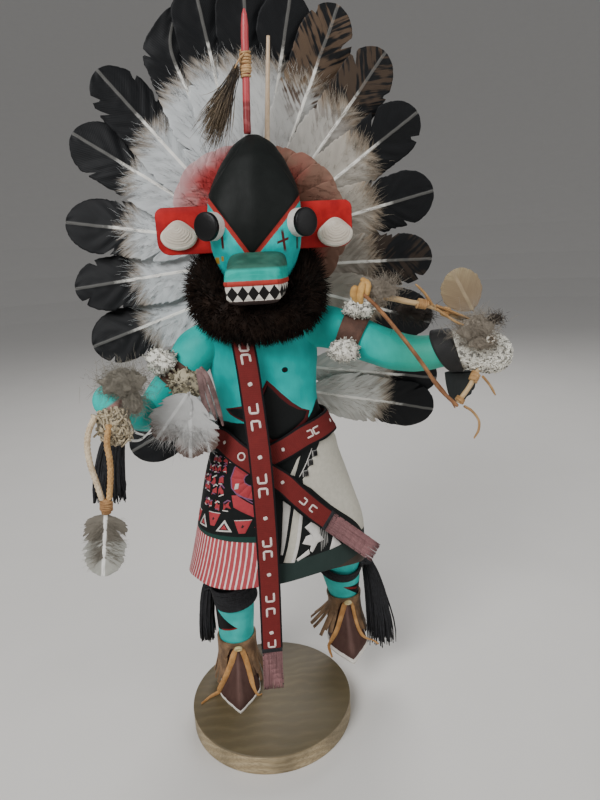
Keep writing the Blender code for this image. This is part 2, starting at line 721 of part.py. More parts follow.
bare_wood = paint("base_wood", (0.36, 0.27, 0.16), 0.6)
turquoise = paint("turquoise_paint", (0.07, 0.50, 0.48), 0.5)
black_paint = paint("black_paint", (0.02, 0.02, 0.02), 0.55)
red_paint = paint("red_paint", (0.52, 0.04, 0.03), 0.5)
sash_paint = paint("sash_paint", (0.30, 0.03, 0.03), 0.5)
shell_white = paint("shell", (0.80, 0.74, 0.64), 0.35)
dark_fur = paint("fur", (0.05, 0.03, 0.02), 0.9)
white_feather = paint("feather", (0.75, 0.76, 0.74), 0.7)
grey_down = paint("down", (0.45, 0.40, 0.33), 0.8)
brown_leather = paint("brown_leather", (0.17, 0.09, 0.06), 0.65)
tan_leather = paint("tan_leather", (0.62, 0.36, 0.16), 0.7)
white_lace = paint("lace", (0.78, 0.77, 0.70), 0.8)
black_yarn = paint("black_yarn", (0.015, 0.015, 0.018), 0.9)
cream_cord = paint("cream_cord", (0.66, 0.54, 0.38), 0.8)
pale_wood = paint("bow_wood", (0.66, 0.50, 0.28), 0.6)

# Base and figure
disc = base_disc(doll, bare_wood)
figure = torso_and_kilt("figure", doll, material=turquoise)
boolean(figure, as_cutter(mask_block("mask", helpers)), "UNION")
boolean(figure, as_cutter(muzzle_block("muzzle", helpers)), "UNION")
standing = leg("standing_leg", STANDING_FOOT, STANDING_KNEE, STANDING_GIRTH, helpers)
boolean(figure, as_cutter(standing), "UNION")
boolean(figure, as_cutter(leg("raised_leg", RAISED_FOOT, RAISED_KNEE, RAISED_GIRTH, helpers)), "UNION")
cut(disc, [as_cutter(leg("standing_space", STANDING_FOOT, STANDING_KNEE, STANDING_GIRTH, helpers, GAP))])

body_space = as_cutter(torso_and_kilt("body_space", helpers, GAP))
mask_space = as_cutter(mask_block("mask_space", helpers, GAP))
muzzle_space = as_cutter(muzzle_block("muzzle_space", helpers, GAP))
stave_line = smooth_line(BOW_STAVE, 18)
stave_space = as_cutter(as_mesh(tube("stave_space", longer(stave_line, GAP), BOW_RADIUS + GAP, helpers)))

# Arms
cut(limb("arm_right", ARM_RIGHT, doll, turquoise), [body_space])
cut(limb("arm_left", ARM_LEFT, doll, turquoise), [body_space, stave_space])
arm_right_space = as_cutter(limb("arm_right_space", ARM_RIGHT, helpers, grow=GAP))
arm_left_space = as_cutter(limb("arm_left_space", ARM_LEFT, helpers, grow=GAP))

# Mask fittings and collar
for side, right_hand in (("right", True), ("left", False)):
    eye(f"eye_{side}", right_hand, [mask_space], doll, black_paint)
    ear(f"ear_{side}", right_hand, [mask_space, eye_space(right_hand, helpers)], doll, red_paint)
    ear_shell(f"ear_shell_{side}", right_hand, doll, shell_white)
fur_ruff([body_space, mask_space, muzzle_space, arm_right_space, arm_left_space], doll, dark_fur)

# Crown rod
rod = [(*Vector(ROD_FOOT).lerp(Vector(ROD_TOP), t), ROD_RADIUS * width)
       for t, width in ((0.0, 1.0), (0.96, 1.0), (1.0, 0.4))]
limb("crown_rod", rod, doll, red_paint, sides=16)
rod_ends = [rod[0], (*ROD_TOP, ROD_RADIUS)]
sleeve("rod_tie", rod_ends, ROD_TIE, 1.1, doll, tan_leather)
feather("rod_feather", (5.2, -2.6, 379.0), (-11.5, -6.0, 354.0), 5.0, (0.2, -1, 0.2), 0.9,
        doll, grey_down, vane_start=0.06)

# Feather bonnet on its pad
pad_outline = [(PAD_HALF[0] * math.sin(a), PAD_HALF[1] * math.cos(a)) for a in turns(32)]
plate("bonnet_pad", pad_outline, PAD_THICK, PAD_CENTRE, (1, 0, 0), (0, 0, 1), doll, brown_leather)
for number, (angle, length, drop) in enumerate(BONNET_FEATHERS, start=1):
    turn = math.radians(angle)
    ahead = Vector((math.cos(turn), 0, math.sin(turn)))
    hub = Vector(HUB) - Vector((0, 0, drop))
    front = Vector((0, -1, 0))
    facing = front * math.cos(FEATHER_SHINGLE) + ahead.cross(front) * math.sin(FEATHER_SHINGLE)
    feather(f"bonnet_feather_{number:02d}", hub + ahead * FEATHER_ROOT, hub + ahead * length,
            FEATHER_HALF_WIDTH, facing, FEATHER_THICK, doll, white_feather)

# Sashes
waist_sash(doll, sash_paint)
hanging_sash(doll, sash_paint)

# Armbands, their lace and their feathers
sleeve("armband_right", ARM_RIGHT, ARMBAND_RIGHT, BAND_THICK, doll, brown_leather)
sleeve("armband_left", ARM_LEFT, ARMBAND_LEFT, BAND_THICK, doll, brown_leather)
lace_tuft("armband_lace_right_upper", ARM_RIGHT, 0.225, math.radians(225), doll, white_lace)
lace_tuft("armband_lace_right_front", ARM_RIGHT, 0.235, math.radians(160), doll, white_lace)
lace_tuft("armband_lace_left_upper", ARM_LEFT, 0.205, math.radians(118), doll, white_lace)
lace_tuft("armband_lace_left_lower", ARM_LEFT, 0.20, math.radians(206), doll, white_lace)
feather("armband_feather", (-31.5, -24.0, 224.0), (-36.0, -24.0, 187.0), 13.5, (0, -1, 0), 0.9,
        doll, white_feather, vane_start=0.05)

# Left hand: cuff, cloth, lace and bow
sleeve("wrist_cuff_left", ARM_LEFT, CUFF_LEFT, CUFF_THICK, doll, black_yarn)
bunch("cuff_cloth_left", (115.0, -22.0, 223.5), (117.0, -22.0, 207.5), (8.0, 7.0), (4.0, 3.0),
      doll, black_yarn)
cut(limb("fist_lace", FIST_LACE, doll, white_lace), [arm_left_space, stave_space])
tube("bow_stave", stave_line, BOW_RADIUS, doll, pale_wood)
string_line = smooth_line(BOW_STRING, 12)
tube("bow_string", string_line, STRING_RADIUS, doll, tan_leather)
string_tube = tube("string_space", longer(string_line, GAP), STRING_RADIUS + GAP, helpers)
string_space = as_cutter(as_mesh(string_tube))
knot("bow_knot", (57.5, -39.0, 272.5), (4.4, 5.4, 5.6), [stave_space, string_space], doll, tan_leather)
feather("bow_feather", (114.6, -31.2, 259.5), (106.4, -30.6, 279.0), 11.0, (0.1, -1, 0), 0.8,
        doll, grey_down, vane_start=0.03)

# Right hand: cords, tie, feather and yarn
for name, points in HAND_CORDS.items():
    tube(name, smooth_line(points, 9), CORD_RADIUS, doll, cream_cord)
knot("hand_cord_tie", (-76.0, -42.6, 172.6), (4.8, 3.4, 3.2), [], doll, tan_leather)
feather("hand_feather", (-77.0, -42.6, 169.0), (-84.5, -42.6, 133.5), 11.5, (0, -1, 0), 0.9,
        doll, grey_down, vane_start=0.05)
bunch("hand_yarn_right", (-72.0, -20.0, 201.0), (-79.5, -20.0, 163.0), (5.5, 9.0), (5.0, 6.0),
      doll, black_yarn)

# Leg bands, their yarn and the ankle fringes
standing_leg = leg_line(STANDING_FOOT, STANDING_KNEE, STANDING_GIRTH)
raised_leg = leg_line(RAISED_FOOT, RAISED_KNEE, RAISED_GIRTH)
sleeve("knee_band_right", standing_leg, (0.40, 0.60), BAND_THICK, doll, black_yarn)
sleeve("knee_band_left", raised_leg, (0.455, 0.565), BAND_THICK, doll, black_yarn)
bunch("leg_yarn_right", (-38.5, 24.5, 84.0), (-41.8, 25.5, 42.0), (4.2, 4.7), (4.5, 5.5), doll, black_yarn)
bunch("leg_yarn_left", (74.8, 23.0, 89.0), (80.8, 22.0, 26.0), (5.6, 9.0), (5.0, 6.5), doll, black_yarn)
sleeve("ankle_fringe_right", standing_leg, (0.17, 0.0), BAND_THICK, doll, brown_leather, flare=4.5)
sleeve("ankle_fringe_left", raised_leg, (0.17, 0.0), BAND_THICK, doll, brown_leather, flare=4.5)
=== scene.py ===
import json
import math

import bpy
import numpy as np
from mathutils import Matrix, Vector
from numpy import array, clip, concatenate, cos, exp, interp, linspace, radians, sin, sqrt, stack

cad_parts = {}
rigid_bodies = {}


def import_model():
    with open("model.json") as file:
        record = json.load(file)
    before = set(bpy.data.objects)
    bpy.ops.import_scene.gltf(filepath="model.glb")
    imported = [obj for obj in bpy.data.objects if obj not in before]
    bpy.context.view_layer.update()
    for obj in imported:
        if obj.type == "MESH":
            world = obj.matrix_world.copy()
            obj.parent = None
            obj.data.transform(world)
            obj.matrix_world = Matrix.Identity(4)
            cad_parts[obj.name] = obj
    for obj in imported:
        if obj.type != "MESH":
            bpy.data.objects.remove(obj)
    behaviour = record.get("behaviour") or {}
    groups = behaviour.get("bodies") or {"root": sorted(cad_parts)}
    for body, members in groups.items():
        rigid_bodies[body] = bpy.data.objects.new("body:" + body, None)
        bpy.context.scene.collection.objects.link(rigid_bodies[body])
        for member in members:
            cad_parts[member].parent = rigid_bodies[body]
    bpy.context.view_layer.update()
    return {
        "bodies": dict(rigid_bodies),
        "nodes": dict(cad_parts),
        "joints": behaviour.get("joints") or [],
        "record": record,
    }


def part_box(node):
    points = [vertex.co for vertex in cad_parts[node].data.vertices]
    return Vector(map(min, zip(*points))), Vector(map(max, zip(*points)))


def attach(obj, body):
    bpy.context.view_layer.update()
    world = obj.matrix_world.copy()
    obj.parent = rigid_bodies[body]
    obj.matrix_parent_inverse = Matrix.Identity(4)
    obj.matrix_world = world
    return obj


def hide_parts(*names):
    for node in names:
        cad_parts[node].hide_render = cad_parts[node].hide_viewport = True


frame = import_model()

# A masked dancer doll of carved, painted wood with feathers, fur, leather, lace and yarn.
# Lengths are in millimetres until a mesh is made. +Z is up and the dancer faces -Y.

mm = 0.001
turn = 2 * math.pi
seeded = np.random.default_rng
square = ((0, 0), (0, 1), (1, 1), (1, 0))  # steps of row and column round a face


# Curves and directions.
def smoothRows(rows, at):
    # Cubic curves through the rows, whose first column is the place; each row's slope is its neighbours'.
    rows = array(rows, float)
    places = rows[:, 0]
    slopes = np.gradient(rows, places, axis=0)
    index = clip(np.searchsorted(places, at, side="right") - 1, 0, len(places) - 2)
    span = (places[index + 1] - places[index])[..., None]
    t = (np.asarray(at) - places[index])[..., None] / span
    value = (2 * t + 1) * (t - 1) ** 2 * rows[index] + t * t * (3 - 2 * t) * rows[index + 1]
    return value + t * (t - 1) ** 2 * span * slopes[index] + t * t * (t - 1) * span * slopes[index + 1]


def smoothLine(points, count):
    # Points at even steps of the index, on a smooth curve through the given ones.
    rows = np.column_stack([np.arange(len(points)), array(points, float)])
    return smoothRows(rows, linspace(0, len(points) - 1, count))[:, 1:]


def reachOf(line):
    # The length along a line up to each of its points.
    return np.r_[0, np.cumsum(np.linalg.norm(np.diff(line, axis=0), axis=1))]


def evenLine(points, count):
    # The same curve with its points evenly spaced along its length.
    fine = smoothLine(points, 16 * len(points))
    reach = reachOf(fine)
    at = linspace(0, reach[-1], count)
    return np.column_stack([interp(at, reach, column) for column in fine.T])


def xyz(x, y, z):
    return stack(np.broadcast_arrays(x, y, z), -1)


def angles(count):
    return linspace(0, turn, count, endpoint=False)


def steps(count):
    # Shares of the way along lines (line, station, xyz).
    return linspace(0, 1, count)[None, :, None]


def unit(vectors):
    return vectors / np.maximum(np.linalg.norm(vectors, axis=-1, keepdims=True), 1e-9)


def ease(low, high, at):
    # 0 below low, 1 above high, and an S between them.
    t = clip((np.asarray(at, float) - low) / (high - low), 0, 1)
    return t * t * (3 - 2 * t)


def lumps(points, size, seed):
    # Soft bumps from -1 to 1: the mean of plane waves of about that size in random directions.
    draw, waves = seeded(seed), 7
    ways = unit(draw.normal(size=(waves, 3))) * turn / (size * draw.uniform(0.7, 1.4, (waves, 1)))
    shifts = draw.uniform(0, turn, waves)
    return sin(points @ ways.T + shifts).sum(-1) / waves ** 0.5 / 1.6


def carried(lines, first=None):
    # Directions along lines (line, station, xyz) and two across, carried from station to station untwisted.
    ahead = unit(np.gradient(lines, axis=1))
    if first is None:
        guess = np.where(abs(ahead[:, 0, 2:3]) > 0.9, [[1.0, 0, 0]], [[0, 0, 1.0]])
        first = np.cross(ahead[:, 0], guess)
    side = np.empty_like(lines)
    held = np.broadcast_to(np.asarray(first, float), lines[:, 0].shape)
    for station in range(lines.shape[1]):
        t = ahead[:, station]
        held = unit(held - t * (held * t).sum(-1, keepdims=True))
        side[:, station] = held
    return ahead, side, np.cross(ahead, side)


# Meshes.
def place(name, data):
    made = bpy.data.objects.new(name, data)
    bpy.context.scene.collection.objects.link(made)
    return made


def mapOf(columns, along):
    # A closed grid's map: the share of the way round, and the given numbers along its rows.
    return stack(np.meshgrid(linspace(0, 1, columns + 1), along), -1)


class Shape:
    # Closed parts made of grids of points, gathered into one mesh.
    def __init__(self):
        self.points, self.corners, self.sizes, self.maps, self.count = [], [], [], [], 0

    def add(self, points, faces, maps):
        # faces: arrays of corners (face, 3 or 4), maps: uv of the same corners. The volume, summed from
        # the tetrahedra between the part's middle and its faces, says whether it has to be turned round.
        points = np.asarray(points, float).reshape(-1, 3)
        middle = points.mean(0)
        volume = 0.0
        for face in faces:
            p = points[face] - middle
            volume += np.einsum("ij,ij->i", p[:, 0], np.cross(p[:, 1], p[:, 2])).sum()
            if face.shape[1] == 4:
                volume += np.einsum("ij,ij->i", p[:, 0], np.cross(p[:, 2], p[:, 3])).sum()
        step = -1 if volume < 0 else 1
        for face, uv in zip(faces, maps):
            self.corners.append((face[:, ::step] + self.count).ravel())
            self.sizes.append(np.full(len(face), face.shape[1]))
            self.maps.append(uv[:, ::step].reshape(-1, 2))
        self.points.append(points)
        self.count += len(points)

    def grid(self, points, uv=None, ends=True):
        # points (row, column, xyz): the last column joins the first, and `ends` closes the first and the
        # last row with a fan round its middle. uv has one more column.
        rows, columns = points.shape[:2]
        if uv is None:
            uv = mapOf(columns, linspace(0, 1, rows))
        r, c = np.meshgrid(np.arange(rows - 1), np.arange(columns), indexing="ij")
        quads = stack([(r + a) * columns + (c + b) % columns for a, b in square], -1).reshape(-1, 4)
        quadMap = stack([uv[r + a, c + b] for a, b in square], 2).reshape(-1, 4, 2)
        faces, maps, spots = [quads], [quadMap], [points.reshape(-1, 3)]
        if ends:
            k = np.arange(columns)
            for row, hub in ((0, rows * columns), (rows - 1, rows * columns + 1)):
                spots.append(points[row].mean(0, keepdims=True))
                fan = xyz(row * columns + k, row * columns + (k + 1) % columns, np.full(columns, hub))
                fanMap = stack([uv[row, :-1], uv[row, 1:], (uv[row, :-1] + uv[row, 1:]) / 2], 1)
                back = -1 if row == 0 else 1
                faces.append(fan[:, ::back])
                maps.append(fanMap[:, ::back])
        self.add(concatenate(spots), faces, maps)
        return self

    def tubes(self, lines, radii, sides=6, flat=1.0, first=None, twist=0.0):
        # Tubes round lines (line, station, xyz). Each is an oval of the radius and `flat` times it, turned
        # by `twist` radians along the way. uv is (line's share of all lines, share of the length).
        lines = np.asarray(lines, float)
        if lines.ndim == 2:
            lines = lines[None]
        number, stations = lines.shape[:2]
        radii = np.broadcast_to(np.asarray(radii, float), (number, stations))
        _, side, up = carried(lines, first)
        angle = np.arange(sides) * turn / sides + linspace(0, 1, stations)[:, None] * twist
        across = cos(angle)[None, :, :, None] * side[:, :, None]
        upwards = sin(angle)[None, :, :, None] * up[:, :, None] * flat
        points = lines[:, :, None] + radii[:, :, None, None] * (across + upwards)
        n, r, k = np.meshgrid(np.arange(number), np.arange(stations - 1), np.arange(sides), indexing="ij")
        each = stations * sides + 2
        quads = stack([n * each + (r + a) * sides + (k + b) % sides for a, b in square], -1).reshape(-1, 4)
        share = linspace(0, 1, stations)
        strand = (np.arange(number) + 0.5) / number
        quadMap = stack([stack([strand[n], share[r + a]], -1) for a, _ in square], 3)
        quadMap = np.moveaxis(quadMap, -1, 3).reshape(-1, 4, 2)
        n, k = np.meshgrid(np.arange(number), np.arange(sides), indexing="ij")
        faces, maps = [quads], [quadMap]
        for row, hub, back in ((0, 0, -1), (stations - 1, 1, 1)):
            fan = xyz(n * each + row * sides + k, n * each + row * sides + (k + 1) % sides,
                      n * each + stations * sides + hub).reshape(-1, 3)
            fanMap = stack([strand[n], np.full(n.shape, share[row])], -1).reshape(-1, 1, 2)
            faces.append(fan[:, ::back])
            maps.append(np.repeat(fanMap, 3, 1))
        tips = stack([lines[:, 0], lines[:, -1]], 1)
        self.add(concatenate([points.reshape(number, -1, 3), tips], 1), faces, maps)
        return self

    def make(self, name, look, slot=None, stands=(), sharp=40):
        # The mesh as an object that rides on the doll and stands for the CAD nodes. The slot is not used.
        mesh = bpy.data.meshes.new(name)
        points = concatenate(self.points) * mm
        corners, sizes = concatenate(self.corners), concatenate(self.sizes)
        mesh.vertices.add(len(points))
        mesh.vertices.foreach_set("co", points.ravel())
        mesh.loops.add(len(corners))
        mesh.loops.foreach_set("vertex_index", corners.astype(np.int32))
        mesh.polygons.add(len(sizes))
        mesh.polygons.foreach_set("loop_start", np.r_[0, np.cumsum(sizes)[:-1]].astype(np.int32))
        mesh.update(calc_edges=True)
        layer = mesh.uv_layers.new(name="along")
        layer.uv.foreach_set("vector", concatenate(self.maps).astype(np.float32).ravel())
        mesh.validate()
        mesh.shade_smooth()
        if sharp:
            mesh.set_sharp_from_angle(angle=math.radians(sharp))
        mesh.materials.append(look.material)
        obj = place(name, mesh)
        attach(obj, "root")
        if stands:
            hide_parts(*stands)
        return obj


# Materials.
class Value:
    # A number that varies over a surface. The operators add Math nodes.
    def __init__(self, look, socket):
        self.look, self.socket = look, socket

    def __add__(self, other):
        return self.look.math("ADD", self, other)

    def __sub__(self, other):
        return self.look.math("SUBTRACT", self, other)

    def __rsub__(self, other):
        return self.look.math("SUBTRACT", other, self)

    def __mul__(self, other):
        return self.look.math("MULTIPLY", self, other)

    def __truediv__(self, other):
        return self.look.math("DIVIDE", self, other)

    def __pow__(self, other):
        return self.look.math("POWER", self, other)

    def __abs__(self):
        return self.look.math("ABSOLUTE", self)

    __radd__, __rmul__ = __add__, __mul__


class Look:
    # A material in the making: one Principled shader and the nodes that feed it.
    def __init__(self, name):
        self.material = bpy.data.materials.new(name)
        self.material.use_nodes = True
        self.tree = self.material.node_tree
        self.shader = self.tree.nodes["Principled BSDF"]
        spot = self.node("TexCoord")
        self.place = self.scaled(Value(self, spot.outputs["Object"]), 1 / mm)  # in millimetres
        self.x, self.y, self.z = self.parts(self.place)

    def node(self, kind, settings=(), sockets=()):
        # Any node: its settings first, then the values or links of its sockets.
        made = self.tree.nodes.new("ShaderNode" + kind)
        for key, value in dict(settings).items():
            setattr(made, key, value)
        for key, value in dict(sockets).items():
            self.feed(made.inputs[key], value)
        return made

    def feed(self, socket, value):
        if isinstance(value, Value):
            self.tree.links.new(value.socket, socket)
        elif socket.type == "RGBA":
            socket.default_value = (*value, 1.0)
        else:
            socket.default_value = value

    def math(self, operation, *values):
        made = self.node("Math", {"operation": operation}, dict(enumerate(values)))
        return Value(self, made.outputs[0])

    def scaled(self, vector, size):
        # The vector times a number, or times a size along each axis.
        size = size if isinstance(size, tuple) else (size,) * 3
        made = self.node("VectorMath", {"operation": "MULTIPLY"}, {0: vector, 1: size})
        return Value(self, made.outputs[0])

    def parts(self, vector):
        made = self.node("SeparateXYZ", (), {0: vector})
        return [Value(self, output) for output in made.outputs]

    def joined(self, x, y, z=0.0):
        return Value(self, self.node("CombineXYZ", (), {0: x, 1: y, 2: z}).outputs[0])

    def along(self):
        # The piece's own map: two numbers.
        made = self.node("UVMap", {"uv_map": "along"})
        return self.parts(Value(self, made.outputs[0]))[:2]

    def noise(self, size, detail=3.0, vector=None, rough=0.55, stretch=None):
        # Clouds of about `size` millimetres, from 0 to 1; a stretch makes them longer along an axis.
        vector = vector or self.place
        if stretch:
            vector = self.scaled(vector, tuple(1 / s for s in stretch))
        made = self.node("TexNoise", (), {"Vector": vector, "Scale": 1 / size, "Detail": detail,
                                          "Roughness": rough})
        return Value(self, made.outputs[0])

    def ramp(self, value, low, high):
        # 0 at low, 1 at high, smooth between; low may be above high.
        kept = {"interpolation_type": "SMOOTHSTEP"}
        made = self.node("MapRange", kept, {"Value": value, "From Min": low, "From Max": high})
        return Value(self, made.outputs[0])

    def clouded(self, size, first, second):
        # Broad soft clouds of two colours.
        return self.mix(self.ramp(self.noise(size, 2.0), 0.3, 0.7), first, second)

    def mix(self, share, first, second, blend="MIX"):
        made = self.node("Mix", {"data_type": "RGBA", "blend_type": blend}, {0: share, 6: first, 7: second})
        return Value(self, made.outputs[2])

    def wave(self, value):
        # 0 to 1 and back as the value goes from one whole number to the next.
        return self.math("SINE", value * turn) * 0.5 + 0.5

    def finish(self, colour, rough=0.5, bump=None, depth=0.1, shine=0.5, coat=0.0):
        # Links the colour, the roughness and a bump whose 0 to 1 is `depth` millimetres.
        for name, value in {"Base Color": colour, "Roughness": rough, "Specular IOR Level": shine,
                            "Coat Weight": coat}.items():
            self.feed(self.shader.inputs[name], value)
        if bump is not None:
            made = self.node("Bump", (), {"Height": bump, "Distance": depth * mm, "Strength": 1.0})
            self.feed(self.shader.inputs["Normal"], Value(self, made.outputs[0]))
        return self


def woodGrain(look, axis=2):
    # Fine carved grain: noise drawn out along one axis.
    stretch = [0.55] * 3
    stretch[axis] = 9.0
    return look.noise(1.0, 4.0, stretch=tuple(stretch))


def paintOn(look, colour, rough=0.46, axis=2):
    # Hand paint over carved wood: uneven cover, brush drag, a little grain and a few rubbed spots.
    grain = woodGrain(look, axis)
    drag = look.noise(2.6, 3.0, stretch=(1.0, 1.0, 3.2))
    clouds = look.noise(11.0, 3.0)
    shade = look.joined(*[clouds * 0.26 + drag * 0.2 + grain * 0.1 + 0.72] * 3)
    colour = look.mix(1.0, colour, shade, "MULTIPLY")
    rubbed = look.ramp(look.noise(3.2, 6.0, rough=0.7), 0.7, 0.78) * 0.22
    colour = look.mix(rubbed, colour, (0.3, 0.26, 0.2))
    height = grain * 0.5 + drag * 0.5
    return look.finish(colour, drag * 0.16 + rough, height, 0.12, shine=0.16)


# Camera, floor and lights.
view = {"distance": 330.583, "height": 298.896, "yaw": 0.0851886, "pitch": 0.265391, "roll": -0.0517818,
        "focal": 27.045, "sensor": 36.0}


def makeCamera():
    # Looks along `fwd`, turned by the yaw from +Y and down by the pitch, then rolled about it.
    yaw, pitch, roll = view["yaw"], view["pitch"], view["roll"]
    fwd = array([math.sin(yaw) * math.cos(pitch), math.cos(yaw) * math.cos(pitch), -math.sin(pitch)])
    right = array([math.cos(yaw), -math.sin(yaw), 0.0])
    up = np.cross(right, fwd)
    across = right * math.cos(roll) + up * math.sin(roll)
    above = up * math.cos(roll) - right * math.sin(roll)
    data = bpy.data.cameras.new("camera")
    data.lens, data.sensor_width, data.clip_start = view["focal"], view["sensor"], 0.01
    camera = place("camera", data)
    matrix = np.eye(4)
    matrix[:3, 0], matrix[:3, 1], matrix[:3, 2] = across, above, -fwd
    matrix[:3, 3] = [0.0, -view["distance"] * mm, view["height"] * mm]
    camera.matrix_world = Matrix(matrix.tolist())
    bpy.context.scene.camera = camera


def makeStage():
    # A wide floor that sweeps up far away under a pale sky, with a key, a fill and a rim panel.
    spin = angles(64)
    reach = linspace(0.0, 12.0, 25)[:, None]
    rings, rise = reach * 1000 + 0.001, ease(2.5, 13.0, reach) * 5600 - 0.02
    points = xyz(rings * cos(spin), rings * sin(spin), rise)
    mesh = bpy.data.meshes.new("floor")
    quads = [(r * 64 + c, r * 64 + (c + 1) % 64, (r + 1) * 64 + (c + 1) % 64, (r + 1) * 64 + c)
             for r in range(24) for c in range(64)]
    mesh.from_pydata((points * mm).reshape(-1, 3).tolist(), [], [face[::-1] for face in quads])
    look = Look("pale_floor")
    shade = look.noise(60.0, 4.0)
    look.finish(look.mix(shade, (0.62, 0.6, 0.57), (0.66, 0.64, 0.61)), shade * 0.1 + 0.6, shade, 0.2)
    mesh.materials.append(look.material)
    place("floor", mesh)
    world = bpy.data.worlds.new("studio")
    world.use_nodes = True
    world.node_tree.nodes["Background"].inputs["Color"].default_value = (0.8, 0.81, 0.83, 1.0)
    world.node_tree.nodes["Background"].inputs["Strength"].default_value = 0.34
    bpy.context.scene.world = world
    panels = [((-0.55, -0.75, 0.95), 0.6, 14.5), ((0.85, -0.55, 0.55), 0.8, 4.0),
              ((0.2, 0.8, 0.9), 0.6, 6.0)]
    for number, (spot, size, power) in enumerate(panels):
        data = bpy.data.lights.new(f"panel_{number}", "AREA")
        data.size, data.energy = size, power
        lamp = place(data.name, data)
        lamp.location = spot
        lamp.rotation_euler = (Vector((0, 0, 0.22)) - Vector(spot)).to_track_quat("-Z", "Y").to_euler()


makeCamera()
makeStage()
print("camera, floor and lights are set")


# The two cords of the right hand.
cords = {
    "radius": 1.6, "plies": 3, "turnEvery": 7.0,
    "hand_cord_outer": [(-75.5, -41.5, 220), (-79.6, -42.5, 212), (-81.2, -43, 204), (-80.9, -43, 195),
                        (-79.3, -42.8, 185), (-78.0, -42.6, 176.2)],
    "hand_cord_inner": [(-69.5, -42.0, 215), (-71.6, -42.6, 206), (-71.4, -42.8, 197), (-72.2, -42.8, 188),
                        (-74.4, -42.6, 176.2)],
}


def cordLook(name, pale, dark):
    # Spun yarn: fine fibres that slant round the cord, darker between the plies.
    look = Look(name)
    fibre = look.noise(0.5, 4.0, stretch=(1.0, 1.0, 2.4))
    soil = look.noise(6.0, 3.0)
    colour = look.mix(look.ramp(fibre * 0.6 + soil * 0.4, 0.35, 0.65), dark, pale)
    return look.finish(colour, 0.85, fibre, 0.25)


def twistedCord(line):
    # A tube whose section has one lobe for each ply and turns steadily along the line.
    length, sides = reachOf(line)[-1], 15
    line = evenLine(line, len(line))
    _, side, up = (d[0] for d in carried(line[None]))
    angle = np.arange(sides) * turn / sides
    spin = linspace(0, length / cords["turnEvery"] * turn, len(line))[:, None]
    lobes = 1.0 - 0.2 * (0.5 + 0.5 * cos(cords["plies"] * (angle - spin) + math.pi)) ** 1.5
    reach = (cords["radius"] * lobes)[..., None]
    ring = cos(angle)[:, None] * side[:, None] + sin(angle)[:, None] * up[:, None]
    return Shape().grid(line[:, None] + ring * reach)


def makeCords():
    looks = {"hand_cord_outer": cordLook("cream_cord", (0.72, 0.6, 0.43), (0.42, 0.31, 0.19)),
             "hand_cord_inner": cordLook("straw_cord", (0.6, 0.38, 0.16), (0.34, 0.18, 0.07))}
    for name, look in looks.items():
        line = smoothLine(cords[name], 61)
        made = twistedCord(line).make(name + "_yarn", look, "cream_cord", [name])
        tuple(line[0] * mm)
        (line * mm).tolist()


makeCords()


# The base.
base = {"radius": 50.8, "height": 12.7, "ease": 0.9}


def lathe(profile, columns):
    # A profile of (radius, height) carried round the upright axis.
    angle = np.arange(columns) * turn / columns
    r, z = array(profile, float).T[:, :, None]
    return xyz(r * sin(angle), -r * cos(angle), z)


def baseLook():
    # Sawn and sanded softwood under a thin olive-brown stain; the sawn side is paler than the top.
    look = Look("stained_base")
    bend = look.noise(30.0, 3.0) * 20.0
    rings = look.math("SQRT", (look.y + 92.0 + bend) ** 2.0 + ((look.z + 40.0) * 1.6) ** 2.0)
    year = look.wave(rings / 5.6)
    fine = look.noise(1.0, 4.0, stretch=(14.0, 0.7, 0.7))
    side = look.ramp(look.z, base["height"] - 0.25, base["height"] - 1.2)
    top = look.mix(year ** 2.0, (0.094, 0.07, 0.033), (0.122, 0.092, 0.045))
    wall = look.mix(year ** 2.0, (0.36, 0.275, 0.155), (0.45, 0.355, 0.215))
    colour = look.mix(side, top, wall)
    colour = look.mix(look.ramp(fine, 0.42, 0.62) * 0.4, colour, (0.1, 0.07, 0.032))
    patch = look.ramp(look.noise(26.0, 3.0), 0.38, 0.66) * 0.55
    colour = look.mix(patch, colour, (0.085, 0.066, 0.034))
    rubbed = look.ramp(look.noise(4.0, 6.0, rough=0.7), 0.62, 0.74) * side * 0.6
    colour = look.mix(rubbed, colour, (0.52, 0.42, 0.27))
    return look.finish(colour, fine * 0.15 + 0.48, fine * 0.6 + year * 0.4, 0.22)


def makeBase():
    r, h, e = base["radius"], base["height"], base["ease"]
    corner = linspace(0, math.pi / 2, 5)
    profile = [(3.0, 0.0), (r - 8, 0.0), (r - 1.2, 0.0)]
    profile += [(r - 0.5 + 0.5 * math.sin(a), 0.5 - 0.5 * math.cos(a)) for a in corner[1:]]
    profile += [(r, h / 2)] + [(r - e + e * math.cos(a), h - e + e * math.sin(a)) for a in corner]
    profile += [(r - 6, h), (r / 2, h), (3.0, h)]
    Shape().grid(lathe(profile, 128)).make("base_disc", baseLook(), "base_wood", ["base"])


# Torso and kilt.
bodyPower = 2.1
bodySections = [  # height, centre x, centre y, half width, half depth, slope of the level across the kilt
    (106.0, 7.0, 6.0, 52.2, 33.0, 0.13), (122.0, 8.7, 6.0, 50.2, 31.0, 0.11),
    (150.0, 8.9, 5.5, 43.2, 27.0, 0.07), (174.0, 10.2, 5.0, 38.1, 24.0, 0.03),
    (187.0, 12.0, 5.0, 35.0, 22.0, 0.0), (196.0, 11.8, 4.5, 30.6, 20.0, 0.0),
    (206.0, 10.6, 4.0, 28.4, 18.5, 0.0), (222.0, 9.3, 4.0, 29.2, 18.5, 0.0),
    (238.0, 8.5, 3.5, 31.0, 18.5, 0.0), (249.0, 7.0, 3.0, 30.5, 17.0, 0.0),
    (257.0, 7.0, 2.5, 23.0, 14.5, 0.0), (264.0, 8.0, 2.0, 15.0, 12.5, 0.0),
    (274.0, 8.5, 1.0, 13.0, 12.0, 0.0),
]
kneePush = {"reach": 5.6, "angle": 95.0, "spread": 58.0}
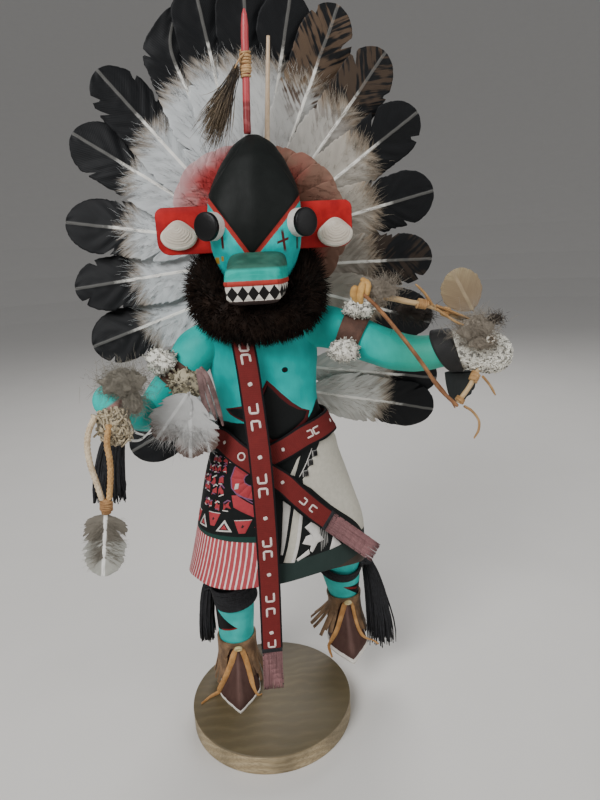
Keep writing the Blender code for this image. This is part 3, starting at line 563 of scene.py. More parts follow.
hemWaves = [  # angle from the front, how far the hem is raised there
    (-180, 0), (-150, 0.8), (-120, 2.6), (-90, 5.6), (-70, 7.0), (-62, 6.7), (-55, 5.6), (-47, 3.9),
    (-38, 2.7),
    (-28, 2.1), (-16, 2.3), (3, 1.7), (28, 1.2), (40, -0.4), (50, -2.9), (60, -5.6), (70, -8.2), (86, -11.6),
    (105, -11.0), (130, -6.6), (155, -2.0), (180, 0),
]


def hemShift(degrees, height):
    # The hem's waves fade out upwards, as the square of the share of the way down from 135 to 106.
    fade = clip((135 - height) / 29, 0, 1) ** 2
    if not fade.any():
        return 0 * height
    around = (degrees + 180) % 360 - 180
    return fade * smoothRows(hemWaves, around.ravel())[:, 1].reshape(around.shape)


def bodyPoint(degrees, height, lift=0.0):
    # A point of the superellipse section at an angle from the front, raised off the wood by the lift.
    # The raised knee pushes the left side of the kilt out in an S-shaped swell.
    degrees, height, lift = np.broadcast_arrays(*(np.asarray(v, float) for v in (degrees, height, lift)))
    rows = np.moveaxis(smoothRows(bodySections, height.ravel()), -1, 0).reshape(6, *height.shape)
    s, c = sin(radians(degrees)), cos(radians(degrees))
    reach = (abs(s) ** bodyPower + abs(c) ** bodyPower) ** (-1 / bodyPower)
    away = abs(np.degrees(np.arctan2(s, c)) - kneePush["angle"])
    share = clip(1 - away / kneePush["spread"], 0, 1) * clip((196 - height) / 50, 0, 1)
    x = (rows[3] + lift) * reach * s + kneePush["reach"] * share * share * (3 - 2 * share)
    y = -(rows[4] + lift) * reach * c
    return xyz(rows[1] + x, rows[2] + y, height + rows[5] * x + hemShift(degrees, height))


def bodyGrid(heights, lifts, columns=160):
    degrees = linspace(-180, 180, columns, endpoint=False)
    points = bodyPoint(degrees, array(heights)[:, None], array(lifts)[:, None])
    return points, mapOf(columns, array(heights) / 300)


def torsoLift(degrees, level):
    # Carving on the torso, in gentle bells: two chest lobes, a breastbone groove, a spine and two blades.
    bell = lambda at, wide, middle, tall: exp(-((degrees - at) / wide) ** 2 - ((level - middle) / tall) ** 2)
    chest = bell(-34, 22, 232, 11) + bell(38, 22, 232, 11)
    blade = bell(-140, 22, 236, 12) + bell(140, 22, 236, 12)
    spine = exp(-((abs(degrees) - 180) / 10) ** 2 - ((level - 222) / 30) ** 2)
    return 0.55 * chest - 0.5 * bell(2, 7, 232, 22) - 0.7 * spine + 0.5 * blade


def makeTorso():
    # Carved chest: a shallow breastbone groove, chest lobes and a soft hollow above the belly.
    heights = linspace(184, 274, 90)
    points, uv = bodyGrid(heights, np.zeros(90))
    degrees = linspace(-180, 180, 160, endpoint=False)[None, :]
    points = bodyPoint(degrees, heights[:, None], torsoLift(degrees, heights[:, None])
                       + 0.1 * lumps(points, 9.0, 3))
    look = Look("turquoise_body")
    u, v = look.along()
    colour = look.clouded(20.0, (0.003, 0.335, 0.315), (0.01, 0.48, 0.45))
    turned, level = (u - 0.5) * 360, v * 300
    kiltTop = look.math("MINIMUM", look.math("MAXIMUM", turned * 0.32 + 187.0, 201.0), 209.0)
    black = look.ramp(level + (look.noise(4.0, 2.0) - 0.5) * 1.2, kiltTop + 0.3, kiltTop - 0.3)
    colour = look.mix(black, colour, (0.004, 0.005, 0.005))
    paintOn(look, colour)
    Shape().grid(points, uv).make("torso", look, "turquoise_paint", ["figure"])


kilt = {"hem": 106.0, "top": 191.0, "edge": 1.3, "hollow": 7.0, "stripe": 3.95, "stripeTop": 137.5,
        "bandTop": 119.5, "lineWidth": 3.3}


def kiltLook():
    # Black ground. The right half ends in a striped red hem under a dark green line, the left half in a
    # plain dark hem. u is the turn round the body and v the height, so stripes fan out with the flare.
    look = Look("painted_kilt")
    u, v = look.along()
    degrees, level = (u - 0.5) * 360, v * 300
    wobble = (look.noise(3.0, 2.0) - 0.5) * 0.9
    stripeTop = degrees * -0.075 + (kilt["stripeTop"] - 4.0)
    under = look.ramp(level + wobble * 0.6, stripeTop + 0.25, stripeTop - 0.25)
    phase = look.math("FRACT", (degrees - level * 0.1 + wobble * 0.5) / kilt["stripe"] + 40.0)
    middle = abs(phase - 0.5)
    thin = look.ramp(look.noise(5.0, 2.0), 0.3, 0.7) * 0.05
    white = look.ramp(middle + thin, 0.19, 0.14)
    red = look.mix(look.noise(2.0, 4.0, stretch=(1, 1, 3)), (0.35, 0.045, 0.055), (0.48, 0.09, 0.1))
    stripes = look.mix(white, red, (0.82, 0.62, 0.6))
    lineTop = stripeTop + look.math("MINIMUM", degrees * 0.034 + 3.9, kilt["lineWidth"])
    line = look.ramp(level + wobble * 0.5, lineTop + 0.2, lineTop - 0.2)
    ground = look.mix(look.noise(7.0, 3.0), (0.003, 0.004, 0.004), (0.009, 0.011, 0.011))
    right = look.mix(line, ground, (0.012, 0.042, 0.034))
    right = look.mix(under, right, stripes)
    band = look.ramp(level + wobble * 0.3, kilt["bandTop"] + 0.2, kilt["bandTop"] - 0.2)
    left = look.mix(band, ground, (0.02, 0.034, 0.03))
    half = look.ramp(degrees, -9.5, -9.0)
    colour = look.mix(half, right, left)
    inside = look.ramp(look.z - look.x * 0.13, 104.9, 104.3)
    colour = look.mix(inside, colour, (0.05, 0.035, 0.025))
    return paintOn(look, colour, 0.5)


def kiltRipple(degrees, level):
    # Soft folds round the sides and the back of the kilt, deepest at the hem.
    fold = ease(186, 130, level) * ease(-70, -60, degrees) * ease(40, 75, abs(degrees))
    return 0.5 * fold * sin(radians(degrees * 6 + 20))


def makeKilt():
    # A flared skirt with a rounded hem; below, the wood is hollowed a little.
    hem, edge = kilt["hem"], kilt["edge"]
    arc = linspace(0, math.pi, 7)[1:]
    heights = list(linspace(kilt["top"], hem + edge, 60)) + [hem + edge - edge * math.sin(a) for a in arc]
    lifts = [0.0] * 60 + [edge * (math.cos(a) - 1) for a in arc]
    heights += [hem + edge + kilt["hollow"] * t for t in (0.5, 1.0)]
    lifts += [-2 * edge - 0.6, -2 * edge - 4.0]
    points, uv = bodyGrid(heights, lifts, 200)
    degrees = linspace(-180, 180, 200, endpoint=False)[None, :]
    level = array(heights)[:, None]
    points = bodyPoint(degrees, level, array(lifts)[:, None] + kiltRipple(degrees, level))
    Shape().grid(points, uv).make("kilt", kiltLook(), "black_paint")


makeBase()
makeTorso()
makeKilt()
print("base, torso and kilt are made")


# Legs and moccasins.
legs = {
    "top": 122.0, "ankle": 31.0,
    "outline": [(0, -32.5), (5, -26.2), (9.6, -20), (13.0, -14.2), (13.2, -12), (12.6, -6), (11.5, 4),
                (9.8, 9.6), (7, 12.5), (3.6, 14.5), (0, 15)],
    "levels": [(0, 0), (2.6, 0), (6.5, 0.14), (11, 0.38), (17, 0.66), (23, 0.88), (31, 1.0)],
    # girth: radius at the ankle, and from the calf up; band: where the knee band lies, and its tilt
    # wedge: its tip's angle towards the outer side and height, then how its two edges climb per degree
    "right": {"foot": (-20.5, 17, 12.1), "knee": (-18.6, 12), "girth": (10.8, 12.7), "band": (0.4, 0.6),
              "tilt": (-0.17, 0, 0), "black": 72.0, "sole": 2.3, "wedge": (-7.5, 47.6, 0.179, -0.045)},
    "left": {"foot": (54.5, 31.5, 27.5), "knee": (47, 9), "girth": (9.2, 12.8), "band": (0.455, 0.565),
             "tilt": (0.28, -0.08, 0), "black": 92.0, "sole": 3.3, "wedge": (-6.0, 48.4, -0.015, -0.2)},
}


def legPoint(side, degrees, height, lift=0.0):
    # A point on the moccasin or the leg above it, at an angle from the toe and a height above the sole.
    # The pointed sole closes towards the round ankle; the leg leans, and widens up to half its length.
    part = legs[side]
    degrees, height, lift = np.broadcast_arrays(*(np.asarray(v, float) for v in (degrees, height, lift)))
    angle = radians(degrees)
    outline = array(legs["outline"], float)
    outline = concatenate([outline, outline[-2:0:-1] * (-1, 1)])
    turns = np.unwrap(np.arctan2(outline[:, 0], -outline[:, 1]))
    reach = np.linalg.norm(outline, axis=1)
    sole = interp(np.mod(angle, turn), np.r_[turns, turn], np.r_[reach, reach[0]])
    closing = smoothRows(legs["levels"], clip(height, 0, legs["ankle"]).ravel())[:, 1].reshape(height.shape)
    way = stack([sin(angle), -cos(angle)], -1)
    share = clip((height - legs["ankle"]) / (legs["top"] - part["foot"][2] - legs["ankle"]), 0, 1)
    low, high = part["girth"]
    radius = low + (high - low) * sin(math.pi / 2 * clip(share * 2, 0, 1))
    spot = way * (sole * (1 - closing) + radius * closing + lift)[..., None]
    foot = array(part["foot"][:2])
    centre = foot + (array(part["knee"]) - foot) * share[..., None]
    return concatenate([centre + spot, (height + part["foot"][2])[..., None]], -1)


def legLook(side):
    # Brown moccasin with a white sole edge, then a turquoise shin with a black wedge open to the outer
    # side, lined with dark red, and black above the knee band.
    part, look = legs[side], Look("leg_paint_" + side)
    u, v = look.along()
    degrees, level = (u - 0.5) * 360, v * 150
    brown = look.mix(look.noise(5.0, 4.0), (0.045, 0.021, 0.017), (0.098, 0.052, 0.043))
    # A lighter stripe down the front of the moccasin is a painted highlight, where its ridge would catch the
    # light.
    ridge = look.ramp(abs(degrees), 7.0, 1.0) * look.ramp(level, 3.0, 8.0) * 0.5
    brown = look.mix(ridge, brown, (0.16, 0.09, 0.075))
    sole = look.ramp(level + (look.noise(2.0, 2.0) - 0.5) * 0.3, part["sole"] + 0.15, part["sole"] - 0.15)
    brown = look.mix(sole, brown, (0.7, 0.66, 0.6))
    turquoise = look.clouded(14.0, (0.022, 0.4, 0.365), (0.045, 0.53, 0.49))
    tip, height, climb, fall = part["wedge"]
    out = look.math("MINIMUM", degrees * (1 if side == "left" else -1) - tip, 115.0)
    below = out * climb + (height - level) + (look.noise(1.5, 2.0) - 0.5) * 0.5
    above = level - height - out * fall + (look.noise(1.5, 2.0) - 0.5) * 0.5
    inWedge = look.ramp(below, -0.1, 0.2) * look.ramp(above, -0.1, 0.2) * look.ramp(out, 0.0, 1.0)
    lining = look.ramp(above, 1.5, 1.1) if side == "right" else look.ramp(abs(above - out * 0.11), 1.1, 0.8)
    turquoise = look.mix(inWedge, turquoise, (0.004, 0.005, 0.005))
    turquoise = look.mix(inWedge * lining * look.ramp(out, 62.0, 50.0), turquoise, (0.2, 0.012, 0.012))
    above = look.ramp(level, part["black"], part["black"] + 0.6)
    turquoise = look.mix(above, turquoise, (0.005, 0.005, 0.006))
    shin = look.ramp(level, legs["ankle"] + 3.2, legs["ankle"] + 3.6)
    return paintOn(look, look.mix(shin, brown, turquoise), 0.5)


def makeLeg(side):
    top = legs["top"] + 2 - legs[side]["foot"][2]
    heights = np.r_[0, 0.25, 0.8, 1.5, 1.75, 1.95, 2.2, linspace(3, 31, 30), linspace(32, top, 50)]
    inset = interp(heights, [0, 0.25, 1.5, 1.75, 1.95, 3], [-0.5, -0.1, 0, 0, -0.45, -0.5])
    inset *= ease(20, 4, heights)
    degrees = linspace(-180, 180, 128, endpoint=False)
    uv = mapOf(128, heights / 150)
    bulge = ease(30, 50, heights)[:, None] * 0.8 * cos(radians(degrees - 180)) * ease(95, 60, heights)[:,
                                                                                                       None]
    points = legPoint(side, degrees[None, :], heights[:, None], inset[:, None] + bulge * 0.6)
    Shape().grid(points, uv).make("leg_" + side, legLook(side), "turquoise_paint", sharp=50)


# Bands, thongs and fringes of the legs.
def leatherLook(name, dark, pale, size=1.0):
    # Soft leather: blotches, fine pores and creases, paler where it is rubbed.
    look = Look(name)
    blotch = look.noise(6.0 * size, 4.0)
    crease = look.node("TexVoronoi", {"feature": "DISTANCE_TO_EDGE"},
                       {"Vector": look.scaled(look.place, 1.1 / size), "Scale": 1.0})
    crease = look.ramp(Value(look, crease.outputs[0]), 0.0, 0.16)
    pores = look.noise(0.35 * size, 3.0)
    colour = look.mix(look.ramp(blotch, 0.3, 0.7), dark, pale)
    colour = look.mix(look.ramp(pores, 0.6, 0.35) * 0.35, colour, dark)
    return look.finish(colour, pores * 0.2 + 0.55, crease * 0.6 + pores * 0.4, 0.16)


def yarnLook(name, dark, pale):
    look = Look(name)
    fibre = look.noise(0.6, 4.0, stretch=(1.0, 1.0, 4.0))
    clouds = look.noise(5.0, 2.0)
    colour = look.mix(look.ramp(fibre * 0.7 + clouds * 0.3, 0.35, 0.7), dark, pale)
    return look.finish(colour, 0.9, fibre, 0.2)


def windings(shape, centre, ahead, side, up, radius, length, rounds, thick, seed=1):
    # Yarn wound round a limb: a helix of plied yarn, each turn lying by the last, a little uneven.
    count = rounds * 40
    t = linspace(0, 1, count)[:, None]
    angle = t * rounds * turn
    wander = lumps(np.column_stack([angle, t * 9, t * 0]), 2.5, seed)[:, None] * thick * 0.25
    out = side * cos(angle) + up * sin(angle)
    line = centre + ahead * ((t - 0.5) * length + wander) + out * (radius + thick * 0.4 + abs(wander) * 0.4)
    return shape.tubes(line, thick * 0.62, 6)


def strip(shape, line, widths, thick, first):
    # A flat thong along a line with a softly squared section.
    return shape.tubes(line, np.asarray(widths) / 2, 8, flat=thick / float(np.mean(widths)), first=first)


ankleFringe = {"cuts": 34, "open": 34, "low": (5.0, 9.5), "flare": (3.4, 4.8)}
thongRoutes = {  # spots of angle and height on the foot, the loose end beyond it, width
    "right": [([(0, 33.5), (-8, 30), (-20, 22), (-30, 14.5), (-41.5, 6), (-46, 2.4)],
               [(-40, 1.0, 13.7), (-45.5, -4.0, 13.5)], 4.1),
              ([(8, 33.5), (17, 29.5), (24.5, 21.2), (25, 14.8), (25, 8), (30, 2)], [(-6.5, -1.5, 13.6)],
               3.6)],
    "left": [([(2, 34), (-7, 31), (-19.5, 22.8), (-28, 14.5), (-38, 7.2), (-44, 2)], [(42.0, 12.0, 24.5)],
              4.2),
             ([(12, 34), (21, 29.5), (24, 21.5), (24, 15.2), (28, 10), (40, 5.5)],
              [(71.0, 17.5, 30.5), (75, 17.5, 27.0)], 2.4)],
}
legYarn = {  # top, tip, half width and depth at the top and at the tip
    "right": ((-35.6, 22.5, 83), (-40.2, 23.5, 42), (3.6, 3.8), (5.0, 5.6)),
    "left": ((69.4, 23, 88), (78.2, 22, 26), (3.4, 4.4), (9.8, 6.4)),
}


def makeLegDress(side, looks):
    part = legs[side]
    foot, knee = array(part["foot"]), array([*part["knee"], legs["top"]])
    ankle = foot + (0, 0, legs["ankle"])
    ahead = unit(knee - ankle)
    y = unit(array([0, 1.0, 0]) - ahead * ahead[1])
    share = part["band"]
    middle = ankle + (knee - ankle) * sum(share) / 2
    length = (share[1] - share[0]) * np.linalg.norm(knee - ankle)
    band = Shape()
    slant = unit(ahead + part["tilt"])
    windings(band, middle, slant, y, unit(np.cross(slant, y)), part["girth"][1] + 0.4, length * 0.94,
             int(length / 1.05), 1.15, 5)
    band.make("knee_yarn_" + side, looks["black"], "black_yarn", ["knee_band_" + side])

    # Ankle fringe: a leather wrap whose lower part is cut into strips that flare out. It is open in front,
    # where the thongs lie, and on the raised foot it swings out to one side.
    draw = seeded(31 if side == "left" else 32)
    fringe = Shape()
    degrees = linspace(-180, 180, 96, endpoint=False)
    rise = array([0, 0.05, 0.45, 0.95, 1.0])[:, None]
    low = 33.3 - 8.8 * ease(15, 38, abs(degrees))
    heights = low + (36.5 - low) * rise
    outer = legPoint(side, degrees[None, :], heights, array([1.7, 2.0, 1.9, 1.7, 1.3])[:, None])
    inner = legPoint(side, degrees[None, :], heights[::-1], 0.35)
    wall = concatenate([outer, inner, outer[:1]])
    fringe.grid(wall, ends=False)
    for k in range(ankleFringe["cuts"]):
        at = -180 + (k + 0.5) * 360 / ankleFringe["cuts"] + draw.uniform(-2, 2)
        away = abs((at + 180) % 360 - 180)
        if away < ankleFringe["open"]:
            continue
        low = draw.uniform(*ankleFringe["low"]) + (4 if away < 55 else 0)
        share = linspace(0, 1, 9)
        drop = linspace(26, low, 9)
        flare = share ** 1.4 * draw.uniform(*ankleFringe["flare"])
        if side == "left":
            fan = math.exp(-((at + 82) / 48) ** 2)
            flare, drop = flare + share * 9.5 * fan, drop + share * 6.5 * fan
        bend = linspace(0, draw.uniform(-5, 5), 9) ** 3 / 25
        base = legPoint(side, at + bend, np.maximum(drop, 24), 1.3 + flare)
        base[:, 2] = foot[2] + drop
        out = unit(base[0] - [*ankle[:2], base[0, 2]])
        strip(fringe, base, np.full(9, 3.0), 1.0, np.cross(out, [0, 0, 1.0]))
    fringe.make("ankle_leather_" + side, looks["fringe"], "brown_leather", ["ankle_fringe_" + side],
                sharp=55)

    # Two thongs fall from a pale knot in front of the ankle, along both sides of the moccasin and past it.
    thongs, knot = Shape(), Shape()
    for route, loose, wide in thongRoutes[side]:
        line = evenLine(concatenate([legPoint(side, *array(route, float).T, 1.1), loose]), 34)
        out = unit(line[0] - [*ankle[:2], line[0, 2]])
        widths = interp(linspace(0, 1, 34), [0, 0.12, 0.62, 0.8, 1],
                        [2.4, wide, wide * 0.95, wide * 0.55, 1.3])
        strip(thongs, line, widths, 1.1, np.cross(out, [0, 0, 1.0]))
    t = linspace(0, turn, 20)[:, None]
    front = legPoint(side, 4, 33.5, 2.4)
    strip(knot, front + cos(t) * [1.9, 0, 0] + sin(t) * [0, -0.5, 1.2], np.full(20, 2.2), 1.5, (0, -1, 0))
    thongs.make("ankle_thong_" + side, looks["thong"], "tan_leather", sharp=55)
    knot.make("ankle_knot_" + side, looks["knot"], "tan_leather", sharp=55)


def strands(shape, roots, tips, count, radius, seed, sway=1.5, stations=7, sides=4):
    # A bunch of strands: each runs from a spot in the first oval to one in the second, with its own sway.
    # An oval is (centre, half width, half depth). Radii thin a little towards the tip.
    draw = seeded(seed)
    spin, reach = draw.uniform(0, turn, count), sqrt(draw.uniform(0, 1, count))
    t = steps(stations)
    ends = []
    for centre, wide, deep in (roots, tips):
        spot = xyz(cos(spin) * wide, sin(spin) * deep, np.zeros(count)) * reach[:, None]
        ends.append(array(centre, float) + spot)
    drop = draw.uniform(0.78, 1.03, count)[:, None, None]
    bow = sin(t * math.pi / 2) ** 0.8
    lines = ends[0][:, None] * (1 - t * drop) + ends[1][:, None] * t * drop
    lines[:, :, :2] += ((bow - t) * (ends[1] - ends[0])[:, None])[:, :, :2] * 0.8
    wave = sin(t * draw.uniform(3, 9, (count, 1, 1)) + draw.uniform(0, turn, (count, 1, 1)))
    lines += wave * t * draw.normal(size=(count, 1, 3)) * (sway * 0.4, sway * 0.4, sway * 0.1)
    radii = radius * interp(linspace(0, 1, stations), [0, 0.8, 1], [1, 0.9, 0.45])
    return shape.tubes(lines, radii * draw.uniform(0.8, 1.2, (count, 1)), sides)


def makeLegYarn(looks):
    for side, (top, tip, half, wide) in legYarn.items():
        yarn = Shape()
        strands(yarn, (top, *half), (tip, *wide), 250, 0.62, 40 + len(side), 1.6, 8, 5)
        start = legPoint(side, linspace(62, 118, 24) * (1 if side == "left" else -1),
                         top[2] - legs[side]["foot"][2] + 3.0, 0.8)[:, None]
        t = steps(10)
        draw = seeded(7)
        end = array(top) + draw.normal(size=(24, 1, 3)) * (half[0] * 0.5, half[1] * 0.5, 0.8) - (0, 0, 1.5)
        yarn.tubes(start * (1 - t) + end * t + sin(t * math.pi) * [0, 0, 0.5], 0.6, 5)
        yarn.make("leg_yarn_" + side + "_strands", looks["black"], "black_yarn", ["leg_yarn_" + side],
                  sharp=0)


legLooks = {"black": yarnLook("black_wool", (0.004, 0.004, 0.005), (0.02, 0.02, 0.024)),
            "fringe": leatherLook("fringe_leather", (0.105, 0.056, 0.026), (0.27, 0.155, 0.075)),
            "thong": leatherLook("thong_leather", (0.36, 0.165, 0.045), (0.6, 0.32, 0.115)),
            "knot": leatherLook("knot_leather", (0.5, 0.4, 0.17), (0.78, 0.68, 0.4))}
for side in ("right", "left"):
    makeLeg(side)
    makeLegDress(side, legLooks)
makeLegYarn(legLooks)
print("legs are made")


# The mask.
mask = {
    "sections": [  # height, centre x, centre y, half width, half depth, squareness
        (266.0, 8.5, 1.0, 12.0, 12.0, 2.0), (274.0, 9.0, 0.0, 16.0, 15.5, 2.2),
        (283.0, 9.0, -1.0, 20.0, 20.0, 2.7),
        (293.0, 9.0, -1.5, 23.5, 23.5, 3.3), (305.0, 9.0, -1.5, 24.5, 24.5, 3.6),
        (316.0, 9.3, -1.0, 24.3, 23.5, 3.4), (324.0, 9.8, -0.5, 22.8, 21.7, 3.0),
        (332.0, 10.2, 0.0, 19.3, 19.0, 2.6), (340.0, 10.8, 0.0, 14.6, 15.0, 2.4),
        (346.0, 11.0, 0.0, 9.2, 9.6, 2.2), (349.5, 11.0, 0.0, 3.5, 3.8, 2.0)],
    "middle": 9.2, "diamond": [(11.0, 352.0), (32.6, 319.6), (6.1, 291.0), (-14.2, 321.0)],
    "raise": 0.7, "outline": 2.2,
    "marks": [  # x, z, half width, half height, lean, which tone
        (22.2, 297.4, 0.65, 4.9, 0.11, 0), (-7.9, 298.4, 0.6, 3.6, 0.0, 0), (29.3, 296.0, 0.6, 3.0, 0.0, 2),
        (-14.6, 296.8, 0.5, 3.0, 0.0, 2), (-11.4, 289.0, 1.1, 1.7, 0.0, 1), (-8.6, 290.0, 0.6, 1.2, 0.0, 1)],
}
muzzle = {
    "x": 5.0, "power": 4.5, "sections": [  # y, centre x, centre height, half width, half height
        (-18.0, 9.0, 283.5, 14.5, 10.0), (-27.0, 8.2, 281.5, 14.8, 10.5), (-36.0, 6.6, 278.8, 13.9, 9.4),
        (-41.5, 5.2, 277.2, 13.0, 8.3), (-42.6, 5.0, 277.0, 12.0, 7.2)],
    "lip": 278.7, "lipHeight": 2.6, "teethMiddle": 274.0, "teethHalf": 3.4, "toothPitch": 5.0,
}


def ovalPoint(angle, halfWidth, halfDepth, power):
    # A point of a superellipse; angle 0 is the front and a quarter turn is +X.
    s, c = sin(angle), cos(angle)
    reach = (abs(s) ** power + abs(c) ** power) ** (-1 / power)
    return halfWidth * reach * s, -halfDepth * reach * c


def diamondDepth(x, z):
    # How far inside the mask's painted diamond a point is, in millimetres: the least distance to its
    # four sides, which run from the peak by the widest places to the point above the muzzle.
    corners, sides = mask["diamond"], []
    for (ax, az), (bx, bz) in zip(corners, corners[1:] + corners[:1]):
        long = math.hypot(bx - ax, bz - az)
        nx, nz = (bz - az) / long, -(bx - ax) / long
        sides.append((nx, nz, nx * ax + nz * az))
    return [x * nx + z * nz - d for nx, nz, d in sides]


def maskLook():
    # Turquoise cheeks, a matt black diamond in front with a red line along its lower sides and a painted
    # highlight, a pale line along its upper left side, painted marks under the eyes, and a black crown
    # behind.
    look = Look("painted_mask")
    _, low1, low2, _ = diamondDepth(look.x, look.z)
    wobble = (look.noise(2.0, 2.0) - 0.5) * 0.5
    lower, front = look.math("MINIMUM", low1, low2), look.ramp(look.y, 3.0, 2.0)
    colour = look.clouded(9.0, (0.003, 0.34, 0.325), (0.01, 0.5, 0.475))
    under = look.ramp(lower * -1 + wobble, mask["outline"], mask["outline"] - 0.3)
    red = look.mix(look.noise(2.0, 3.0), (0.25, 0.02, 0.018), (0.42, 0.04, 0.03))
    colour = look.mix(under * front * look.ramp(look.z, 324.0, 320.0), colour, red)
    black = look.mix(look.noise(6.0, 3.0), (0.004, 0.005, 0.0045), (0.009, 0.011, 0.01))
    inside = look.ramp(lower + wobble * 0.3, -0.15, 0.15)
    colour = look.mix(inside * front, colour, black)
    crown = look.ramp(look.z, 320.0, 321.0)
    colour = look.mix(crown, colour, black)
    # Painted highlight: a pale line along the diamond's upper left edge, where the light catches it.
    rim = look.ramp(abs(look.y - look.z * 0.02 + 2.0), 1.0, 0.6) * look.ramp(look.z, 321.0, 325.0)
    colour = look.mix(rim * look.ramp(look.x, 8.0, 4.0) * 0.6, colour, (0.34, 0.34, 0.32))
    for x, z, halfX, halfZ, lean, tint in mask["marks"]:
        near = look.math("MAXIMUM", abs(look.x - x + (look.z - z) * lean) / halfX, abs(look.z - z) / halfZ)
        mark = look.ramp(near + wobble * 0.4, 1.25, 0.75) * front
        colour = look.mix(mark, colour, ((0.085, 0.012, 0.012), (0.4, 0.24, 0.03),
                                         (0.02, 0.075, 0.065))[tint])
    slant = abs(look.z - 297.4 - (look.x - 21.8) * 0.33)
    colour = look.mix(look.ramp(slant, 0.8, 0.45) * look.ramp(abs(look.x - 21.8), 3.2, 2.6) * front, colour,
                      (0.085, 0.012, 0.012))
    return paintOn(look, colour, 0.5)


def makeMask():
    # Lofted head block whose front diamond stands a little proud, with a slight keel down its middle.
    columns, rows = 180, 150
    z = linspace(266.0, 349.5, rows)
    sections = smoothRows(mask["sections"], z)
    angle = linspace(-math.pi, math.pi, columns, endpoint=False)
    level = z[:, None] + 0 * angle
    x, y = ovalPoint(angle[None], np.maximum(sections[:, 3:4], 0.6), np.maximum(sections[:, 4:5], 0.6),
                     sections[:, 5:6])
    x, y = sections[:, 1:2] + x, sections[:, 2:3] + y
    depth = np.min(diamondDepth(x, level), axis=0)
    front = ease(4, -4, y)
    proud = (ease(-0.5, 0.7, depth) - 1) * mask["raise"] * front
    keel = 0.9 * exp(-((x - mask["middle"]) / 5.5) ** 2) * ease(0, 9, depth) * front
    out = stack([sin(angle), -cos(angle)], -1)[None]
    points = xyz(x, y, level)
    lift = (proud + keel + 0.1 * lumps(points, 7.0, 11)) * ease(349, 340, level)
    points[..., :2] += lift[..., None] * out
    Shape().grid(points).make("mask", maskLook(), "turquoise_paint")


def muzzleLook():
    # Turquoise above, a red lip, then a band of white teeth over black lozenges that goes round the jaw.
    look = Look("painted_muzzle")
    wobble = (look.noise(1.6, 2.0) - 0.5) * 0.35
    round = look.math("MAXIMUM", look.y + 41.8, 0.0)
    across = look.x + round * 0.9 * look.math("SIGN", look.x - muzzle["x"])
    z = look.z + wobble
    colour = look.clouded(9.0, (0.004, 0.29, 0.24), (0.01, 0.42, 0.35))
    # The snout's upper face is darkened to green: painted shade.
    top = look.ramp(look.z, 284.6, 286.2)
    colour = look.mix(top * 0.95, colour, look.clouded(9.0, (0.02, 0.07, 0.05), (0.045, 0.125, 0.09)))
    lip = look.ramp(z, muzzle["lip"] + muzzle["lipHeight"] / 2 + 0.2,
                    muzzle["lip"] + muzzle["lipHeight"] / 2 - 0.2)
    red = look.mix(look.noise(2.0, 3.0), (0.28, 0.028, 0.022), (0.46, 0.05, 0.035))
    colour = look.mix(lip, colour, red)
    row = abs(z - muzzle["teethMiddle"]) / muzzle["teethHalf"]
    tooth = abs(look.math("FRACT", (across - 5.2) / muzzle["toothPitch"] + 20.5) - 0.5) * 2
    lozenge = look.ramp(row * 0.92 + tooth * 0.92, 1.03, 0.95)
    band = look.ramp(row, 1.07, 1.0)
    white = look.mix(look.noise(1.4, 3.0), (0.5, 0.46, 0.4), (0.74, 0.71, 0.65))
    colour = look.mix(band, colour, look.mix(lozenge, white, (0.008, 0.007, 0.007)))
    below = look.ramp(z, muzzle["teethMiddle"] - muzzle["teethHalf"] + 0.1,
                      muzzle["teethMiddle"] - muzzle["teethHalf"] - 0.2)
    colour = look.mix(below, colour, (0.03, 0.02, 0.018))
    return paintOn(look, colour, 0.42, axis=0)


def mouthRelief(height, lip, groove, wide):
    # The lip's ridge, less the two grooves along the teeth; each is a bell over the height.
    bell = lambda middle, size: exp(-((height - middle) / size) ** 2)
    middle, half = muzzle["teethMiddle"], muzzle["teethHalf"]
    return lip * bell(muzzle["lip"], 1.2) - groove * (bell(middle + half, wide) + bell(middle - half, wide))


def makeMuzzle():
    # A squared snout: the lip is a low ridge, and the teeth stand proud of the mouth's cut above and below.
    columns, rows = 150, 40
    y = np.r_[linspace(-18, -41.0, rows), -41.8, -42.2, -42.45, -42.6]
    sections = smoothRows(muzzle["sections"][::-1], y)
    angle = linspace(-math.pi, math.pi, columns, endpoint=False)
    dx, dz = ovalPoint(angle[None], sections[:, 3:4], sections[:, 4:5], muzzle["power"])
    x, z = sections[:, 1:2] + dx, sections[:, 2:3] + dz
    points = xyz(x, y[:, None] + 0 * x, z)
    out = unit(xyz(dx / sections[:, 3:4] ** 2, 0, dz / sections[:, 4:5] ** 2))
    relief = mouthRelief(z, 0.5, 0.4, 0.5)
    points += out * (relief * ease(3.0, 9.0, abs(dx)))[..., None]
    points[..., 1] -= relief * ease(-40.5, -42.0, y)[:, None]
    shape = Shape().grid(points, ends=False)
    # The front and back faces are grids from the rim to the middle.
    for row, sign in ((-1, 1), (0, 0)):
        rim = points[row]
        middle = array([sections[row, 1], rim[:, 1].mean(), sections[row, 2]])
        share = linspace(0, 1, 24)[:, None, None]
        face = rim[None] * (1 - share * 0.995) + middle * share * 0.995
        if sign:
            height, share = face[..., 2], share[..., 0]
            lift = mouthRelief(height, 0.55, 0.45, 0.45) - 0.3 * ease(muzzle["lip"] + 1.5, muzzle["lip"] + 3,
                                                                      height)
            swell = 0.5 * (1 - ((face[..., 0] - muzzle["x"]) / 13) ** 2)
            face[..., 1] = -42.6 - lift * ease(0, 0.08, share) - swell * ease(0, 0.3, share)
        shape.grid(face, ends=True)
    return shape.make("muzzle", muzzleLook(), "turquoise_paint")


eyes = {"radius": 6.9, "front": (25.0, -26.2, 305.7), "turn": math.radians(34), "length": 16.0, "black": 2.5}


